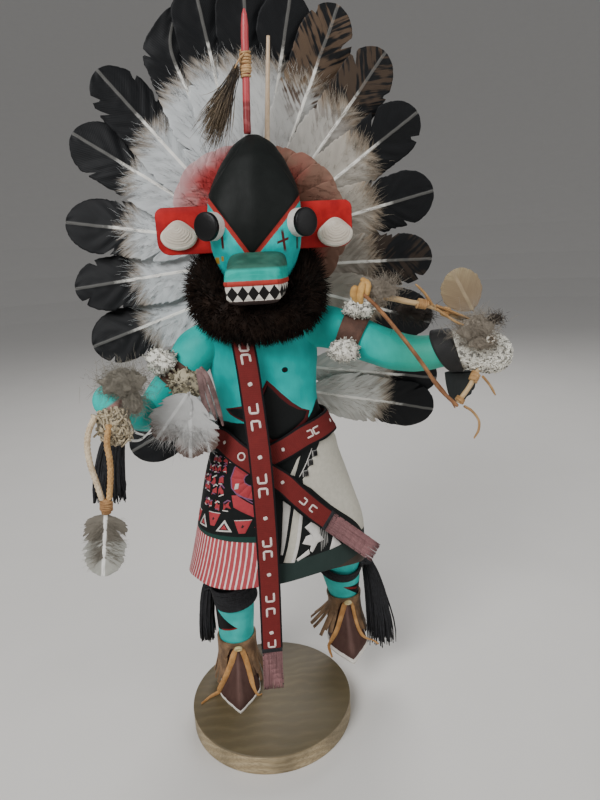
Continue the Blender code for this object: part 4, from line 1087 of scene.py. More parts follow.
def makeEyes():
    # A turned dowel: black front face with an eased rim, white side wall.
    look = Look("eye_paint")
    v = look.along()[1]
    face = look.ramp(v * eyes["length"] + (look.noise(1.5, 2.0) - 0.5) * 0.25, eyes["black"] + 0.12,
                     eyes["black"] - 0.12)
    white = look.mix(look.noise(2.0, 3.0), (0.46, 0.44, 0.4), (0.72, 0.7, 0.66))
    colour = look.mix(face, white, (0.005, 0.005, 0.0055))
    look.finish(colour, face * -0.1 + 0.5, woodGrain(look, 1), 0.12, shine=0.25)
    for side, sign in (("right", -1), ("left", 1)):
        ahead = array([math.sin(eyes["turn"]) * sign, -math.cos(eyes["turn"]), 0])
        front = array([mask["middle"] + eyes["front"][0] * sign, *eyes["front"][1:]])
        across, up = array([-ahead[1], ahead[0], 0]), array([0, 0, 1.0])
        r, long = eyes["radius"], eyes["length"]
        profile = array([(0.4, -0.45), (r * 0.45, -0.38), (r * 0.8, -0.15), (r - 0.75, 0.05),
                         (r - 0.3, 0.22), (r - 0.06, 0.5), (r, 0.9), (r, 3), (r, 8), (r, long - 0.5),
                         (r - 0.5, long)])
        angle = np.arange(48) * turn / 48
        ring = cos(angle)[:, None] * across + sin(angle)[:, None] * up
        points = front + profile[:, 0][:, None, None] * ring - ahead * profile[:, 1][:, None, None]
        dowel = Shape().grid(points, mapOf(48, np.maximum(profile[:, 1], 0) / long))
        dowel.make("eye_dowel_" + side, look, "black_paint", ["eye_" + side])


ears = {"inner": 18.0, "reach": 50.5, "height": 23.5, "thick": 3.6, "y": -6.0, "z": 304.5, "ease": 0.7,
        "shells": [(-39.2, -10.5, 301.8), (41.2, -10.5, 299.6)]}


def board(outline, thick, edge, middle=None):
    # A flat board with eased edges from an outline (n, 2): rings from the back's middle over the rim to the
    # front's middle. Returned as (ring, n, 3) in its own plane, x and y across and z through it.
    outline = np.asarray(outline, float)
    middle = outline.mean(0) if middle is None else array(middle)
    half = thick / 2
    rings = [(0.02, -half), (0.35, -half), (0.7, -half)]
    size = abs(outline - middle).max()
    for a in linspace(0, math.pi / 2, 4):
        rings.append((1 - edge * (1 - math.sin(a)) / size, -half + edge * (1 - math.cos(a))))
    rings += [(shrink, -z) for shrink, z in rings[::-1]]
    return stack([np.column_stack([middle + (outline - middle) * shrink, np.full(len(outline), z)])
                  for shrink, z in rings])


def makeEars():
    look = Look("ear_paint")
    clouds = look.ramp(look.noise(9.0, 3.0), 0.3, 0.7)
    colour = look.mix(clouds, (0.27, 0.008, 0.01), (0.43, 0.016, 0.016))
    paintOn(look, colour, 0.42)
    shellLook = Look("sea_shell")
    v = shellLook.along()[1]
    growth = shellLook.wave(v * 9.0 + shellLook.noise(3.0, 2.0) * 1.5)
    clouds = shellLook.noise(4.0, 3.0)
    colour = shellLook.mix(growth * 0.25 + clouds * 0.6, (0.5, 0.42, 0.34), (0.7, 0.65, 0.55))
    colour = shellLook.mix(shellLook.ramp(v, 0.82, 0.92) * 0.6, colour, (0.78, 0.74, 0.64))
    colour = shellLook.mix(shellLook.ramp(v, 0.16, 0.0) * 0.4, colour, (0.45, 0.36, 0.28))
    shellLook.finish(colour, 0.34, growth, 0.12, coat=0.15)
    half, upper, lower = ears["height"] / 2, 4.2, 6.5
    quarter = linspace(0, math.pi / 2, 9)
    outline = [(ears["inner"], y) for y in linspace(-half, half, 9)]
    outline += [(x, half) for x in linspace(ears["inner"] + 3, ears["reach"] - upper, 12)[:-1]]
    outline += [(ears["reach"] - upper + upper * math.sin(a), half - upper + upper * math.cos(a))
                for a in quarter]
    outline += [(ears["reach"], y) for y in linspace(half - upper, lower - half, 8)[1:-1]]
    outline += [(ears["reach"] - lower + lower * math.cos(a), lower - half - lower * math.sin(a))
                for a in quarter]
    outline += [(x, -half) for x in linspace(ears["reach"] - lower, ears["inner"] + 3, 12)[1:]]
    for side, sign in (("right", -1), ("left", 1)):
        flat = board(outline, ears["thick"], ears["ease"])
        points = xyz(mask["middle"] + sign * flat[..., 0], ears["y"] + flat[..., 2],
                     ears["z"] + flat[..., 1])
        Shape().grid(points).make("ear_board_" + side, look, "red_paint", ["ear_" + side], sharp=35)
        # A clam valve: a dome with growth ridges and fine ribs, highest near its beak at the top.
        centre = array([mask["middle"], 0, 0]) + ears["shells"][sign > 0]
        angle = np.arange(72) * turn / 72
        t = linspace(0.0, 1.0, 30)[:, None]
        beak = array([0.6 * sign, 0, 5.0])
        peak = 1 + 0.18 * np.maximum(0, cos(angle)) ** 6 - 0.1 * (cos(angle) > 0) * sin(2 * angle) ** 2
        rim = xyz(9.3 * sin(angle) * peak ** 0.5, 0, 6.8 * cos(angle) * peak)
        ridge = 0.05 * sin(t * 44) * ease(0.15, 0.4, t) + 0.025 * sin(angle * 26) * ease(0.3, 0.9, t)
        ridge += 0.25 * exp(-((t - 0.9) / 0.06) ** 2) * (cos(angle) < 0.2)
        dome = -1.8 + 3.0 * t ** 2.6 - ridge
        middle = centre + beak * (1 - t[..., None]) + rim * t[..., None]
        outer = middle + xyz(0, dome, 0)
        inner = middle + xyz(0, dome + 0.8 + 0.25 * (1 - t), 0)
        points = concatenate([outer, inner[::-1]])
        shape = Shape().grid(points, mapOf(72, np.r_[t[:, 0], t[::-1, 0]]))
        shape.make("shell_" + side, shellLook, "shell", ["ear_shell_" + side], sharp=60)


makeMask()
makeMuzzle()
makeEyes()
makeEars()
print("the mask is made")


# The fur collar.
ruff = {"centre": (8.0, -3.8, 267.5), "reach": (24.5, 20.6), "drop": 7.6, "half": (12.5, 13.5), "rise": 5.2,
        "hairs": 9600}


def ruffPoint(spin, roll, size=1.0):
    # A point of the ring-shaped collar: spin goes round the neck from the front and roll round its section,
    # outwards first. The ring is low in front, high behind, and thicker at the sides and behind.
    spin, roll = np.broadcast_arrays(spin, roll)
    out = xyz(sin(spin), -cos(spin), 0)
    rise = ruff["rise"] * np.minimum((1 - cos(spin)) ** 2, 1)
    middle = array(ruff["centre"]) + xyz(ruff["reach"][0] * sin(spin), -ruff["reach"][1] * cos(spin),
                                         rise - ruff["drop"] * cos(spin))
    wide, tall = ruff["half"][0], ruff["half"][1] + rise
    return middle + out * (wide * size * cos(roll))[..., None] + array([0, 0, 1.0]) * (
        tall * size * sin(roll))[..., None]


def furLook(name, dark, pale):
    look = Look(name)
    v = look.along()[1]
    hair = look.noise(0.8, 4.0)
    colour = look.mix(look.ramp(hair * 0.5 + look.noise(8.0, 2.0) * 0.5, 0.35, 0.65), dark, pale)
    colour = look.mix(look.ramp(v, 0.75, 1.0) * 0.5, colour, pale)
    return look.finish(colour, 0.75, hair, 0.1, shine=0.15)


def makeRuff():
    # The pelt is a lumpy ring. Each hair starts on it, leans the way the fur was brushed, which is
    # outwards and down, and curls a little; hairs stand in tufts that share a direction.
    look = furLook("dark_fur", (0.0035, 0.0022, 0.0016), (0.02, 0.0105, 0.0065))
    spin = angles(120)[:, None]
    roll = angles(48)[None, :]
    pelt = ruffPoint(spin, roll, 0.8)
    pelt += unit(pelt - ruffPoint(spin, roll, 0.5)) * (0.7 * lumps(pelt, 5.0, 21))[..., None]
    closed = concatenate([pelt, pelt[:1]])
    shape = Shape().grid(closed, ends=False)
    shape.make("ruff_pelt", look, "fur", ["fur_ruff"], sharp=0)
    draw = seeded(77)
    number, stations = ruff["hairs"], 5
    spin, roll = draw.uniform(0, turn, number), draw.uniform(-0.75 * math.pi, 0.75 * math.pi, number)
    root = ruffPoint(spin, roll, 0.76)
    normal = unit(ruffPoint(spin, roll, 1.0) - ruffPoint(spin, roll, 0.5))
    outward = xyz(sin(spin), -cos(spin), 0)
    tuft = stack([lumps(root, 7.0, seed) for seed in (31, 32, 33)], -1)
    above = (clip(sin(roll), 0, 1) * clip(1 - cos(spin), 0, 1))[:, None]
    lean = unit(normal * 0.62 + outward * 0.35 + [0, 0, 1.0] * (above * 1.1 - 0.6) + tuft * 0.55
                + draw.normal(size=(number, 3)) * 0.22)
    length = draw.uniform(3.6, 7.0, number) * (1 - 0.2 * clip(cos(spin), 0, 1) * (roll < 0)
                                               + 0.35 * above[:, 0])
    length = length[:, None, None]
    t = steps(stations)
    start = unit(normal * 0.8 + lean * 0.6)
    lines = root[:, None] + length * (start[:, None] * (t - 0.5 * t * t) + lean[:, None] * (0.5 * t * t))
    lines += draw.normal(size=(number, 1, 3)) * 0.5 * t ** 2
    radii = draw.uniform(0.16, 0.3, (number, 1)) * interp(linspace(0, 1, stations), [0, 0.5, 1],
                                                          [1, 0.85, 0.15])
    half = number // 2
    for part, chosen in (("lower", slice(0, half)), ("upper", slice(half, number))):
        hairs = Shape().tubes(lines[chosen], radii[chosen], 3)
        hairs.make("ruff_hair_" + part, look, "fur", sharp=0)


makeRuff()
print("the ruff is made")


# Feathers.
def plume(shape, root, tip, halfWidth, face, vaneStart=0.1, fullAt=0.36, seed=1, rows=84, quill=0.75,
          slant=1.0, ragged=(1.0, 0.25), splits=3, cup=0.9, curl=(0.0, 0.0), bow=0.0, hook=0.0, tipLong=1.0,
          thick=0.2, belly=0.0):
    # A feather as one closed skin. The outline of a side swells from the vane's start, runs straight and
    # ends in a round cap. Each row is a barb: it leaves the quill behind the outline's point and slants
    # forward to it. Splits pull neighbouring barbs back, and the tip can roll over and hook sideways.
    draw = seeded(seed)
    root, tip, face = (array(v, float) for v in (root, tip, face))
    length = np.linalg.norm(tip - root)
    ahead = (tip - root) / length
    across = unit(np.cross(ahead, face))
    face = np.cross(across, ahead)
    start, capAt = vaneStart * length, length - halfWidth * tipLong
    y = linspace(start, capAt, 60)
    swell = sin(math.pi / 2 * clip((y - start) / (fullAt * length), 0.004, 1)) ** 0.6
    swell *= 1 + belly * sin(math.pi * (y - start) / (capAt - start)) ** 2
    a = linspace(0, 0.985 * math.pi / 2, 50)[1:]
    outline = concatenate([stack([halfWidth * swell, y], -1), stack([halfWidth * cos(a),
                                                                     capAt + halfWidth * tipLong * sin(a)],
                                                                    -1)])
    reach = reachOf(outline)
    at = linspace(0, reach[-1], rows)
    columns = array([1, 0.95, 0.84, 0.66, 0.46, 0.26, 0.1, 0.04])
    flat = []
    for side in (-1, 1):
        outX, outY = (interp(at, reach, column) for column in outline.T)
        shaft = np.maximum.accumulate(np.maximum(outY - outX * slant, start * 0.98 + outX * 0))
        share = outY / length
        rag = interp(share, [0, 0.7, 0.8, 1], [ragged[0], ragged[0], ragged[1], ragged[1]])
        rough = abs(lumps(np.column_stack([at * 1.3, at * 0 + side * 9, at * 0]), 4.0, seed * 3 + side))
        keep = 1 - rag * (rough * 1.2 + draw.uniform(0, 0.7, rows)) / halfWidth
        for _ in range(splits):
            middle, narrow = draw.uniform(0.3, 0.9) * reach[-1], draw.uniform(0.6, 1.2)
            keep *= 1 - draw.uniform(0.15, 0.45) * exp(-((at - middle) / narrow) ** 2)
        c = columns * clip(keep, 0.05, 1)[:, None]
        x = np.maximum(outX[:, None] * c, columns * quill * interp(share, [0, 1], [1, 0.4])[:, None])
        flat.append(stack([side * x, shaft[:, None] + (outY - shaft)[:, None] * c ** 1.12], -1))
    flat = concatenate([flat[0], flat[1][:, ::-1]], 1)
    stem = linspace(0, start * 0.96, 6)[:, None]
    bare = concatenate([-columns, columns[::-1]]) * quill * 0.9
    flat = concatenate([stack([bare + 0 * stem, stem + 0 * bare], -1), flat])
    x, y = flat[..., 0], flat[..., 1]
    v, u = y / length, x / halfWidth
    tall = interp(v[:, 7], [0, 0.3, 1], [1.0, 0.8, 0.25]) * quill
    ridge = np.where(abs(np.arange(16) - 7.5) < 1, 1.0, 0.0)
    lift = thick * (1.0 - 0.45 * abs(u)) + ridge * tall[:, None] * 0.8
    bend = bow * v ** 2 - cup * u ** 2 + 0.22 * sin(y * 0.8 + abs(x) * 1.3 + seed)
    bend += 0.45 * lumps(xyz(x, y, 0), 18.0, seed + 500)
    roll = ease(0.7, 1.0, v)
    bend += curl[0] * roll * u * abs(u) + curl[1] * roll
    x = x + hook * ease(0.72, 1.0, v) ** 1.5 * 10 * (0.5 + v)
    y = y - abs(hook) * ease(0.75, 1.0, v) ** 2 * 5
    middle = root + across * x[..., None] + ahead * y[..., None]
    front, back = middle + face * (bend + lift)[..., None], middle + face * (bend - lift)[..., None]
    maps = stack([(u + 1) / 2, v], -1)
    maps = concatenate([maps, maps[:, ::-1], maps[:, :1]], 1)
    return shape.grid(concatenate([front, back[:, ::-1]], 1), maps)


def featherLook(name, length, halfWidth, white, tip=(0.004, 0.0045, 0.0055), tipLength=30.0,
                brown=(0.26, 0.19, 0.12), marble=0.0, quillTone=(0.86, 0.84, 0.78), seed=0.0, grey=0.3,
                streak=0.0):
    # A pale vane with a dark tip that runs back in streaks along the barbs, a pale quill and soft grey
    # near the root. u goes across the vane from 0 to 1 and v from the root to the tip.
    look = Look(name)
    u, v = look.along()
    x, y = abs(u - 0.5) * (2 * halfWidth), v * length
    slanted = y - x
    barb = look.noise(1.0, 3.0, look.joined(slanted * 2.0 + seed, x * 0.1, u * 2))
    coarse = look.noise(1.0, 2.0, look.joined(slanted * 0.4 + seed, x * 0.06 + seed, u))
    cloud = look.noise(1.0, 2.0, look.joined(y * 0.07 + seed, u * 2.5, 0.0))
    colour = look.mix(barb * 0.5 + cloud * 0.5, tuple(c * 0.7 for c in white), white)
    colour = look.mix(look.ramp(v, 0.4, 0.05) * grey, colour, (0.3, 0.26, 0.23))
    edge = y + (coarse - 0.5) * 15.0 + (barb - 0.5) * 7.0 + x * 0.25
    turns = length - tipLength
    if marble:
        patch = look.ramp(coarse * 0.5 + cloud * 0.7, 0.58, 0.66) * look.ramp(edge, turns - 26.0,
                                                                              turns - 8.0)
        colour = look.mix(patch * marble, colour, (0.075, 0.045, 0.03))
    colour = look.mix(look.ramp(edge, turns - 9.0, turns) * 0.7, colour, brown)
    dark = look.ramp(edge, turns - 3.0, turns + 4.0)
    ink = look.mix(barb, tuple(c * 0.4 for c in tip), tuple(c * 1.5 for c in tip))
    if streak:
        ink = look.mix(look.ramp(coarse * 0.6 + cloud * 0.5, 0.5, 0.6) * streak, ink, (0.085, 0.055, 0.035))
    colour = look.mix(dark, colour, ink)
    fade = look.ramp(edge, turns + 10.0, turns - 2.0)
    colour = look.mix(look.ramp(x, 1.05, 0.65) * (fade * 0.9 + 0.1), colour, quillTone)
    rough = dark * -0.1 + 0.68
    height = look.wave(slanted * 0.8) * 0.35 + barb * 0.65
    return look.finish(colour, rough, height, 0.1, shine=0.2)


bonnet = {
    "hub": (9.0, 35.0, 296.0), "halfWidth": 16.0, "root": 18.0, "shingle": math.radians(12),
    "feathers": [  # angle from +X, length from the hub, drop of its own hub below the top one, tip length
        (-12.5, 111, 85, 30), (-9, 112, 71, 30), (-18, 112, 18, 34), (-0.5, 107, 13, 34),
        (13.2, 110.5, 0, 34),
        (34.9, 119, 0, 33), (51.1, 127.5, 0, 34), (66.3, 134, 0, 38), (77.5, 133, 0, 35), (88.5, 136, 0, 37),
        (99.5, 135, 0, 36), (110.5, 133, 0, 38), (129.6, 122, 0, 37), (146.2, 114.5, 0, 34),
        (170.7, 107, 0, 31),
        (186, 106, 9, 32), (198, 105, 22, 32), (206.8, 96, 79, 30)],
}


bonnetShapes = {6: {"curl": (1.5, 1.0)}, 12: {"hook": 0.8, "splits": 2},
                13: {"curl": (-1.5, 0.6), "tipLong": 1.3}, 5: {"splits": 2}, 4: {"splits": 4},
                8: {"curl": (1.2, 0.8)}, 11: {"tipLong": 0.8}}
# The right and left tones are painted shade and painted light: browner vanes on the right, pale cool ones on
# the lit left.
bonnetTonesAndPaintedLight = {"marble": {8: 0.95, 7: 0.4, 4: 0.3, 1: 0.3, 18: 0.5}, "streak": {8: 1.0, 7: 0.6, 4: 0.3},
               "right": (0.44, 0.4, 0.34), "left": (0.6, 0.63, 0.64), "lowest": (0.66, 0.66, 0.62)}


def bonnetFrame(number):
    # Where a bonnet feather starts and ends, and the way its face looks.
    degrees, length, drop, dark = bonnet["feathers"][number - 1]
    ahead = array([math.cos(math.radians(degrees)), 0, math.sin(math.radians(degrees))])
    hub = array(bonnet["hub"]) - (0, 0, drop)
    front = array([0, -1.0, 0])
    face = front * math.cos(bonnet["shingle"]) + np.cross(ahead, front) * math.sin(bonnet["shingle"])
    return hub + ahead * bonnet["root"], hub + ahead * length, face, length - bonnet["root"], dark


def makeBonnet():
    # The vanes are painted whiter and cooler towards the left and browner towards the right: painted light
    # and shade, with the light from the left. The two lowest on the left are whiter again.
    tones = bonnetTonesAndPaintedLight
    for number in range(1, 19):
        draw = seeded(900 + number)
        root, tip, face, length, dark = bonnetFrame(number)
        # Painted light and shade: pale and cool on the left, browner on the right.
        lean = float(ease(20, 110, bonnet["feathers"][number - 1][0]))
        white = tuple(a + (b - a) * lean for a, b in zip(tones["right"], tones["left"]))
        if number < 3:
            white = tones["lowest"]
        look = featherLook(f"bonnet_feather_{number}", length, bonnet["halfWidth"], white, tipLength=dark,
                           marble=tones["marble"].get(number, 0.0), seed=number * 3.7,
                           streak=tones["streak"].get(number, 0.0))
        choice = {"curl": draw.uniform(-0.9, 0.9, 2), "splits": 2, "tipLong": draw.uniform(1.0, 1.35),
                  "belly": 0.08}
        choice.update(bonnetShapes.get(number, {}))
        shape = Shape()
        plume(shape, root, tip, bonnet["halfWidth"], face, seed=number, **choice)
        shape.make(f"plume_{number:02d}", look, "feather", [f"bonnet_feather_{number:02d}"], sharp=0)


def makeDown():
    # Soft barbs that stand off the vanes, thickest where the white gives way to the dark tips. They are
    # white near the middle of the bonnet and brown or grey farther out.
    look = Look("bonnet_down")
    u, v = look.along()
    pick = look.math("FRACT", u * 613.7)
    # Pale and cool on the left, browner on the right: painted light and shade, with the light from the left.
    lean = look.ramp(look.x, 70.0, -10.0)
    tone = look.mix(lean, look.mix(pick, (0.3, 0.25, 0.19), (0.46, 0.42, 0.36)),
                    look.mix(pick, (0.48, 0.49, 0.49), (0.62, 0.65, 0.66)))
    far = look.ramp(v, 0.1, 0.8) * look.ramp(pick, 0.0, 0.6)
    look.finish(look.mix(far * 0.85, tone, (0.1, 0.085, 0.07)), 0.8, look.noise(0.6, 3.0), 0.1, shine=0.1)
    shape, stations = Shape(), 5
    t = steps(stations)
    for number in range(1, 19):
        draw = seeded(1500 + number)
        root, tip, face, length, dark = bonnetFrame(number)
        ahead = (tip - root) / length
        across = unit(np.cross(ahead, face))
        count = 230
        where = np.where(draw.uniform(size=count) < 0.6, draw.normal(length - dark - 6, 3.5, count),
                         draw.uniform(0.3, 0.8, count) * (length - dark))
        side = draw.uniform(-1, 1, count)
        begin = root + ahead * where[:, None] + across * (side * 12.5)[:, None]
        begin = begin + face * draw.uniform(0.5, 1.1, (count, 1))
        way = unit(ahead + across * (side * 0.8)[:, None] + draw.normal(size=(count, 3)) * 0.22)
        lines = begin[:, None] + way[:, None] * t * draw.uniform(3, 7.5, (count, 1, 1))
        lines += face * (t * t * draw.uniform(-0.4, 1.2, (count, 1, 1)))
        lines += sin(t * 5 + draw.uniform(0, 6, (count, 1, 1))) * across * 0.35 * t
        shape.tubes(lines, 0.095 * interp(t[0, :, 0], [0, 0.6, 1], [1, 0.8, 0.2]), 3)
    shape.make("bonnet_down", look, "feather", sharp=0)


dyedFluff = {
    "hub": (9.0, 15.0, 303.0), "barbs": 150,
    "plumes": [  # angle from +X, length
        (-40, 47), (-26, 50), (-10, 52), (4, 52), (16, 52), (30, 52), (44, 50), (60, 47), (76, 46), (92, 46),
        (108, 46), (122, 47), (135, 48), (148, 47), (160, 43), (172, 38)],
}


def makeFluff():
    # Dyed marabou behind the mask: soft red and pink plumes that fan from the back of the head. Their
    # brown on the right, duller farther out, is painted shade.
    look = Look("dyed_fluff")
    red = look.noise(16.0, 3.0)
    reach = look.math("SQRT", (look.x - 9.0) ** 2.0 + (look.z - 303.0) ** 2.0)
    colour = look.mix(look.ramp(red, 0.44, 0.6), (0.42, 0.05, 0.05), (0.5, 0.22, 0.21))
    pale = look.ramp(reach, 36.0, 48.0) * look.ramp(look.x, 20.0, -10.0)
    colour = look.mix(pale * 0.7, colour, (0.56, 0.44, 0.44))
    brown = look.mix(look.ramp(red, 0.46, 0.62), (0.17, 0.075, 0.052), (0.27, 0.055, 0.045))
    # Brown on the right, duller towards the outer right: painted shade.
    colour = look.mix(look.ramp(look.x, 8.0, 26.0), colour, brown)
    colour = look.mix(look.ramp(reach, 30.0, 48.0) * look.ramp(look.x, 10.0, 26.0) * 0.7, colour,
                      (0.25, 0.15, 0.11))
    look.finish(colour, 0.9, look.noise(0.5, 3.0), 0.1, shine=0.1)
    shape, draw, stations = Shape(), seeded(5), 6
    hub = array(dyedFluff["hub"])
    t = steps(stations)
    for degrees, length in dyedFluff["plumes"]:
        ahead = array([math.cos(math.radians(degrees)), 0, math.sin(math.radians(degrees))])
        across = np.cross(ahead, [0, -1.0, 0])
        face = array([0, -1.0, 0]) * math.cos(0.2) + across * math.sin(0.2)
        plume(shape, hub + ahead * 6, hub + ahead * length, 12.5, face, vaneStart=0.05, fullAt=0.8,
              seed=degrees + 200, rows=36, quill=0.3, slant=0.5, ragged=(1.0, 0.8), splits=1, cup=0.3,
              thick=0.15, tipLong=0.55)
        count = dyedFluff["barbs"]
        side = np.where(draw.uniform(size=count) < 0.5, -1, 1)[:, None]
        begin = hub + ahead * draw.uniform(0.2, 0.8, (count, 1)) * length
        begin = begin + draw.normal(size=(count, 3)) * (1.2, 1.6, 1.2)
        way = unit(ahead * draw.uniform(0.7, 1.5, (count, 1)) + across * side * 0.8
                   + draw.normal(size=(count, 3)) * (0.25, 0.2, 0.25))
        long = np.minimum(draw.uniform(7, 15, (count, 1)), (length - (begin - hub) @ ahead[:, None]) * 1.15
                          + 1.5)
        lines = begin[:, None] + way[:, None] * t * long[:, None]
        lines += sin(t * 6 + draw.uniform(0, 6, (count, 1, 1))) * draw.normal(size=(count, 1, 3)) * 0.5 * t
        shape.tubes(lines, 0.12 * interp(t[0, :, 0], [0, 0.6, 1], [1, 0.9, 0.3]), 3)
        shape.tubes(hub + ahead * linspace(0, length * 0.85, 8)[:, None], linspace(0.5, 0.15, 8), 5)
    shape.make("dyed_fluff", look, "down", sharp=0)


makeBonnet()
makeDown()
makeFluff()
print("the bonnet is made")


# Sashes and painted marks.
sash = {
    "width": 12.2, "thick": 1.8, "lift": 1.2, "border": 1.0, "hook": (2.15, 2.6), "stroke": 1.25,
    "tail": (43.0, 1.5),
    "fall": [(-1.7, -20.2, 248), (-1.2, -21, 243.5), (0, -22, 232), (1.2, -23.5, 215), (2.2, -27, 200),
             (2.8, -30.2, 188), (3.2, -31.6, 172), (3.4, -31.4, 150), (3.3, -31.6, 128), (2.9, -31.6, 105),
             (2.2, -32, 80), (1.6, -32.6, 60), (1.2, -33, 43)],
    "wrap": [  # angle from the front, height, extra lift
        (-13, 181.5, 0), (5, 186.5, 0), (24, 191.5, 0), (38, 193.6, 0), (63, 195.8, 0.5), (90, 196, 0.9),
        (135, 195.5, 0.5), (180, 195, 0), (225, 194.3, 0), (262, 193, 0), (294, 191.8, 0), (309, 190.8, 0.3),
        (331, 184.6, 2.0), (348, 178.2, 2.8), (366, 169.6, 2.8), (376, 161, 2.4), (386, 151.6, 1.6),
        (398.5, 139.4, 0.6)],
    # heights of the marks on the hanging sash: a hook, its half-turn, a dot
    "hooks": [245.8, 212.8, 175.9, 138.5, 104.1], "turned": [238.6, 203.6, 167.5, 130.2, 94.3],
    "dots": [225.6, 187.5, 152.7, 118.4, 81.4],
}
shares = linspace(-0.5, 0.5, 9)


def onBody(middle, across, lift):
    # A row across a strip laid on the body: each spot keeps its place across and finds its own level.
    target = middle[:, None] + across[:, None] * sash["width"] * shares[:, None]
    level = target[..., 2]
    for _ in range(5):
        rows = np.moveaxis(smoothRows(bodySections, level.ravel()), -1, 0).reshape(6, *level.shape)
        level = target[..., 2] - rows[5] * (target[..., 0] - rows[1])
    degrees = np.degrees(np.arctan2((target[..., 0] - rows[1]) / rows[3],
                                    -(target[..., 1] - rows[2]) / rows[4]))
    return bodyPoint(degrees, level, np.asarray(lift)[:, None])


def wrapSheet():
    # The waist sash's outer face (station, share, xyz): laid on the body, then straight out as a tail.
    wrap = smoothLine(sash["wrap"], 170)
    middle = bodyPoint(wrap[:, 0], wrap[:, 1], sash["lift"] + sash["thick"] + wrap[:, 2])
    ahead = unit(np.gradient(middle, axis=0))
    out = xyz(sin(radians(wrap[:, 0])), -cos(radians(wrap[:, 0])), 0 * wrap[:, 0])
    across = unit(np.cross(ahead, out))
    sheet = onBody(middle, across, sash["lift"] + sash["thick"] + wrap[:, 2])
    step = linspace(0, 1, 41)[1:, None, None]
    long, away = sash["tail"]
    return concatenate([sheet, sheet[-1] + (ahead[-1] * long + out[-1] * away) * step])


def fallSheet():
    line = evenLine(sash["fall"], 150)
    sheet = line[:, None] + array([sash["width"], 0, 0]) * shares[:, None]
    out = unit(np.cross(np.gradient(line, axis=0), [1.0, 0, 0]))
    return sheet + out[:, None] * (sash["thick"] / 2) * np.sign(-out[:, None, 1:2])


def facing(sheet):
    # The sheet's outward direction and the length along its middle.
    along, across = np.gradient(sheet, axis=0), np.gradient(sheet, axis=1)
    out = unit(np.cross(along, across))
    return out, reachOf(sheet[:, 4])


def sashBand(shape, sheet, sign, stop):
    # The woven band under its outer face: crowned a little, edges rounded, cut square at the fringe.
    out, reach = facing(sheet)
    keep = reach <= stop
    sheet, out = sheet[keep], out[keep] * sign
    edge = sash["width"] * (0.5 - abs(shares))
    crown = sqrt(clip(edge / 0.7, 0, 1)) * 0.45
    top = sheet + out * (crown - 0.45)[:, None]
    under = sheet - out * (sash["thick"] - 0.45 + crown)[:, None]
    cross = shares + 0.5
    maps = concatenate([cross, cross[::-1], cross[:1]])
    uv = stack(np.broadcast_arrays(maps[None, :], reach[keep][:, None] / 400), -1)
    return shape.grid(concatenate([top, under[:, ::-1]], 1), uv)


def sashSpot(sheet, sign, along, across, lift):
    # A point on the sheet at a length along it and a distance from its middle, raised a little.
    out, reach = facing(sheet)
    row = interp(along, reach, np.arange(len(reach)))
    column = (np.asarray(across) / sash["width"] + 0.5) * 8
    r, c = clip(row.astype(int), 0, len(sheet) - 2), clip(column.astype(int), 0, 7)
    fr, fc = (row - r)[:, None], (column - c)[:, None]
    pick = lambda field: ((field[r, c] * (1 - fr) + field[r + 1, c] * fr) * (1 - fc)
                          + (field[r, c + 1] * (1 - fr) + field[r + 1, c + 1] * fr) * fc)
    normal = unit(pick(out)) * sign
    return pick(sheet) + normal * lift, normal


def brushStroke(shape, line, normal, width, thick=0.22):
    # A raised stroke of paint: a flat oval along the line, closed, its lower half sunk in the ground.
    side = np.cross(normal[0], unit(line[1] - line[0]))
    radii = np.full(len(line), width / 2) * np.r_[0.75, np.ones(len(line) - 2), 0.75]
    return shape.tubes(line, radii, 8, flat=thick / width * 2, first=side)


def hookMark(shape, sheet, sign, along, flip=1, size=1.0):
    # A square hook of three bars: a short arm, a foot and a long arm; `flip` gives its half-turn.
    halfWide, half = array(sash["hook"]) * size
    corners = array([(-halfWide, -half * 0.45), (-halfWide, half), (halfWide, half),
                     (halfWide, -half)]) * flip
    for (ax, ay), (bx, by) in zip(corners, corners[1:]):
        t = linspace(0, 1, 6)
        line, normal = sashSpot(sheet, sign, along + ay + (by - ay) * t, ax + (bx - ax) * t, 0.03)
        brushStroke(shape, line, normal, sash["stroke"] * size)


def dotMark(shape, sheet, sign, along, radius=1.35):
    t = linspace(-0.7, 0.7, 7) * radius
    line, normal = sashSpot(sheet, sign, along + t, t * 0.3, 0.03)
    side = np.cross(normal[0], unit(line[1] - line[0]))
    shape.tubes(line, radius * sqrt(1 - (t / radius) ** 2) * 0.9, 10, flat=0.18, first=side)


def sashLook():
    # Brick-red weave with black borders; fine ribs run across the band.
    look = Look("woven_sash")
    u, v = look.along()
    ribs = look.wave(v * 400 / 1.15) * 0.6 + look.wave(u * sash["width"] / 0.75) * 0.4
    red = look.mix(look.noise(4.0, 4.0), (0.1, 0.011, 0.011), (0.17, 0.018, 0.017))
    red = look.mix(ribs * 0.25, red, (0.21, 0.03, 0.027))
    edge = look.ramp(abs(u - 0.5) * sash["width"] + (look.noise(2.0, 2.0) - 0.5) * 0.35,
                     sash["width"] / 2 - sash["border"] - 0.2, sash["width"] / 2 - sash["border"] + 0.15)
    colour = look.mix(edge, red, (0.006, 0.005, 0.006))
    return look.finish(colour, 0.78, ribs * 0.6 + look.noise(0.5, 3.0) * 0.4, 0.1, shine=0.2)


def chalkLook():
    look = Look("chalk_paint")
    colour = look.mix(look.noise(1.6, 4.0), (0.52, 0.42, 0.38), (0.8, 0.72, 0.67))
    return look.finish(colour, 0.7, look.noise(0.6, 3.0), 0.06)


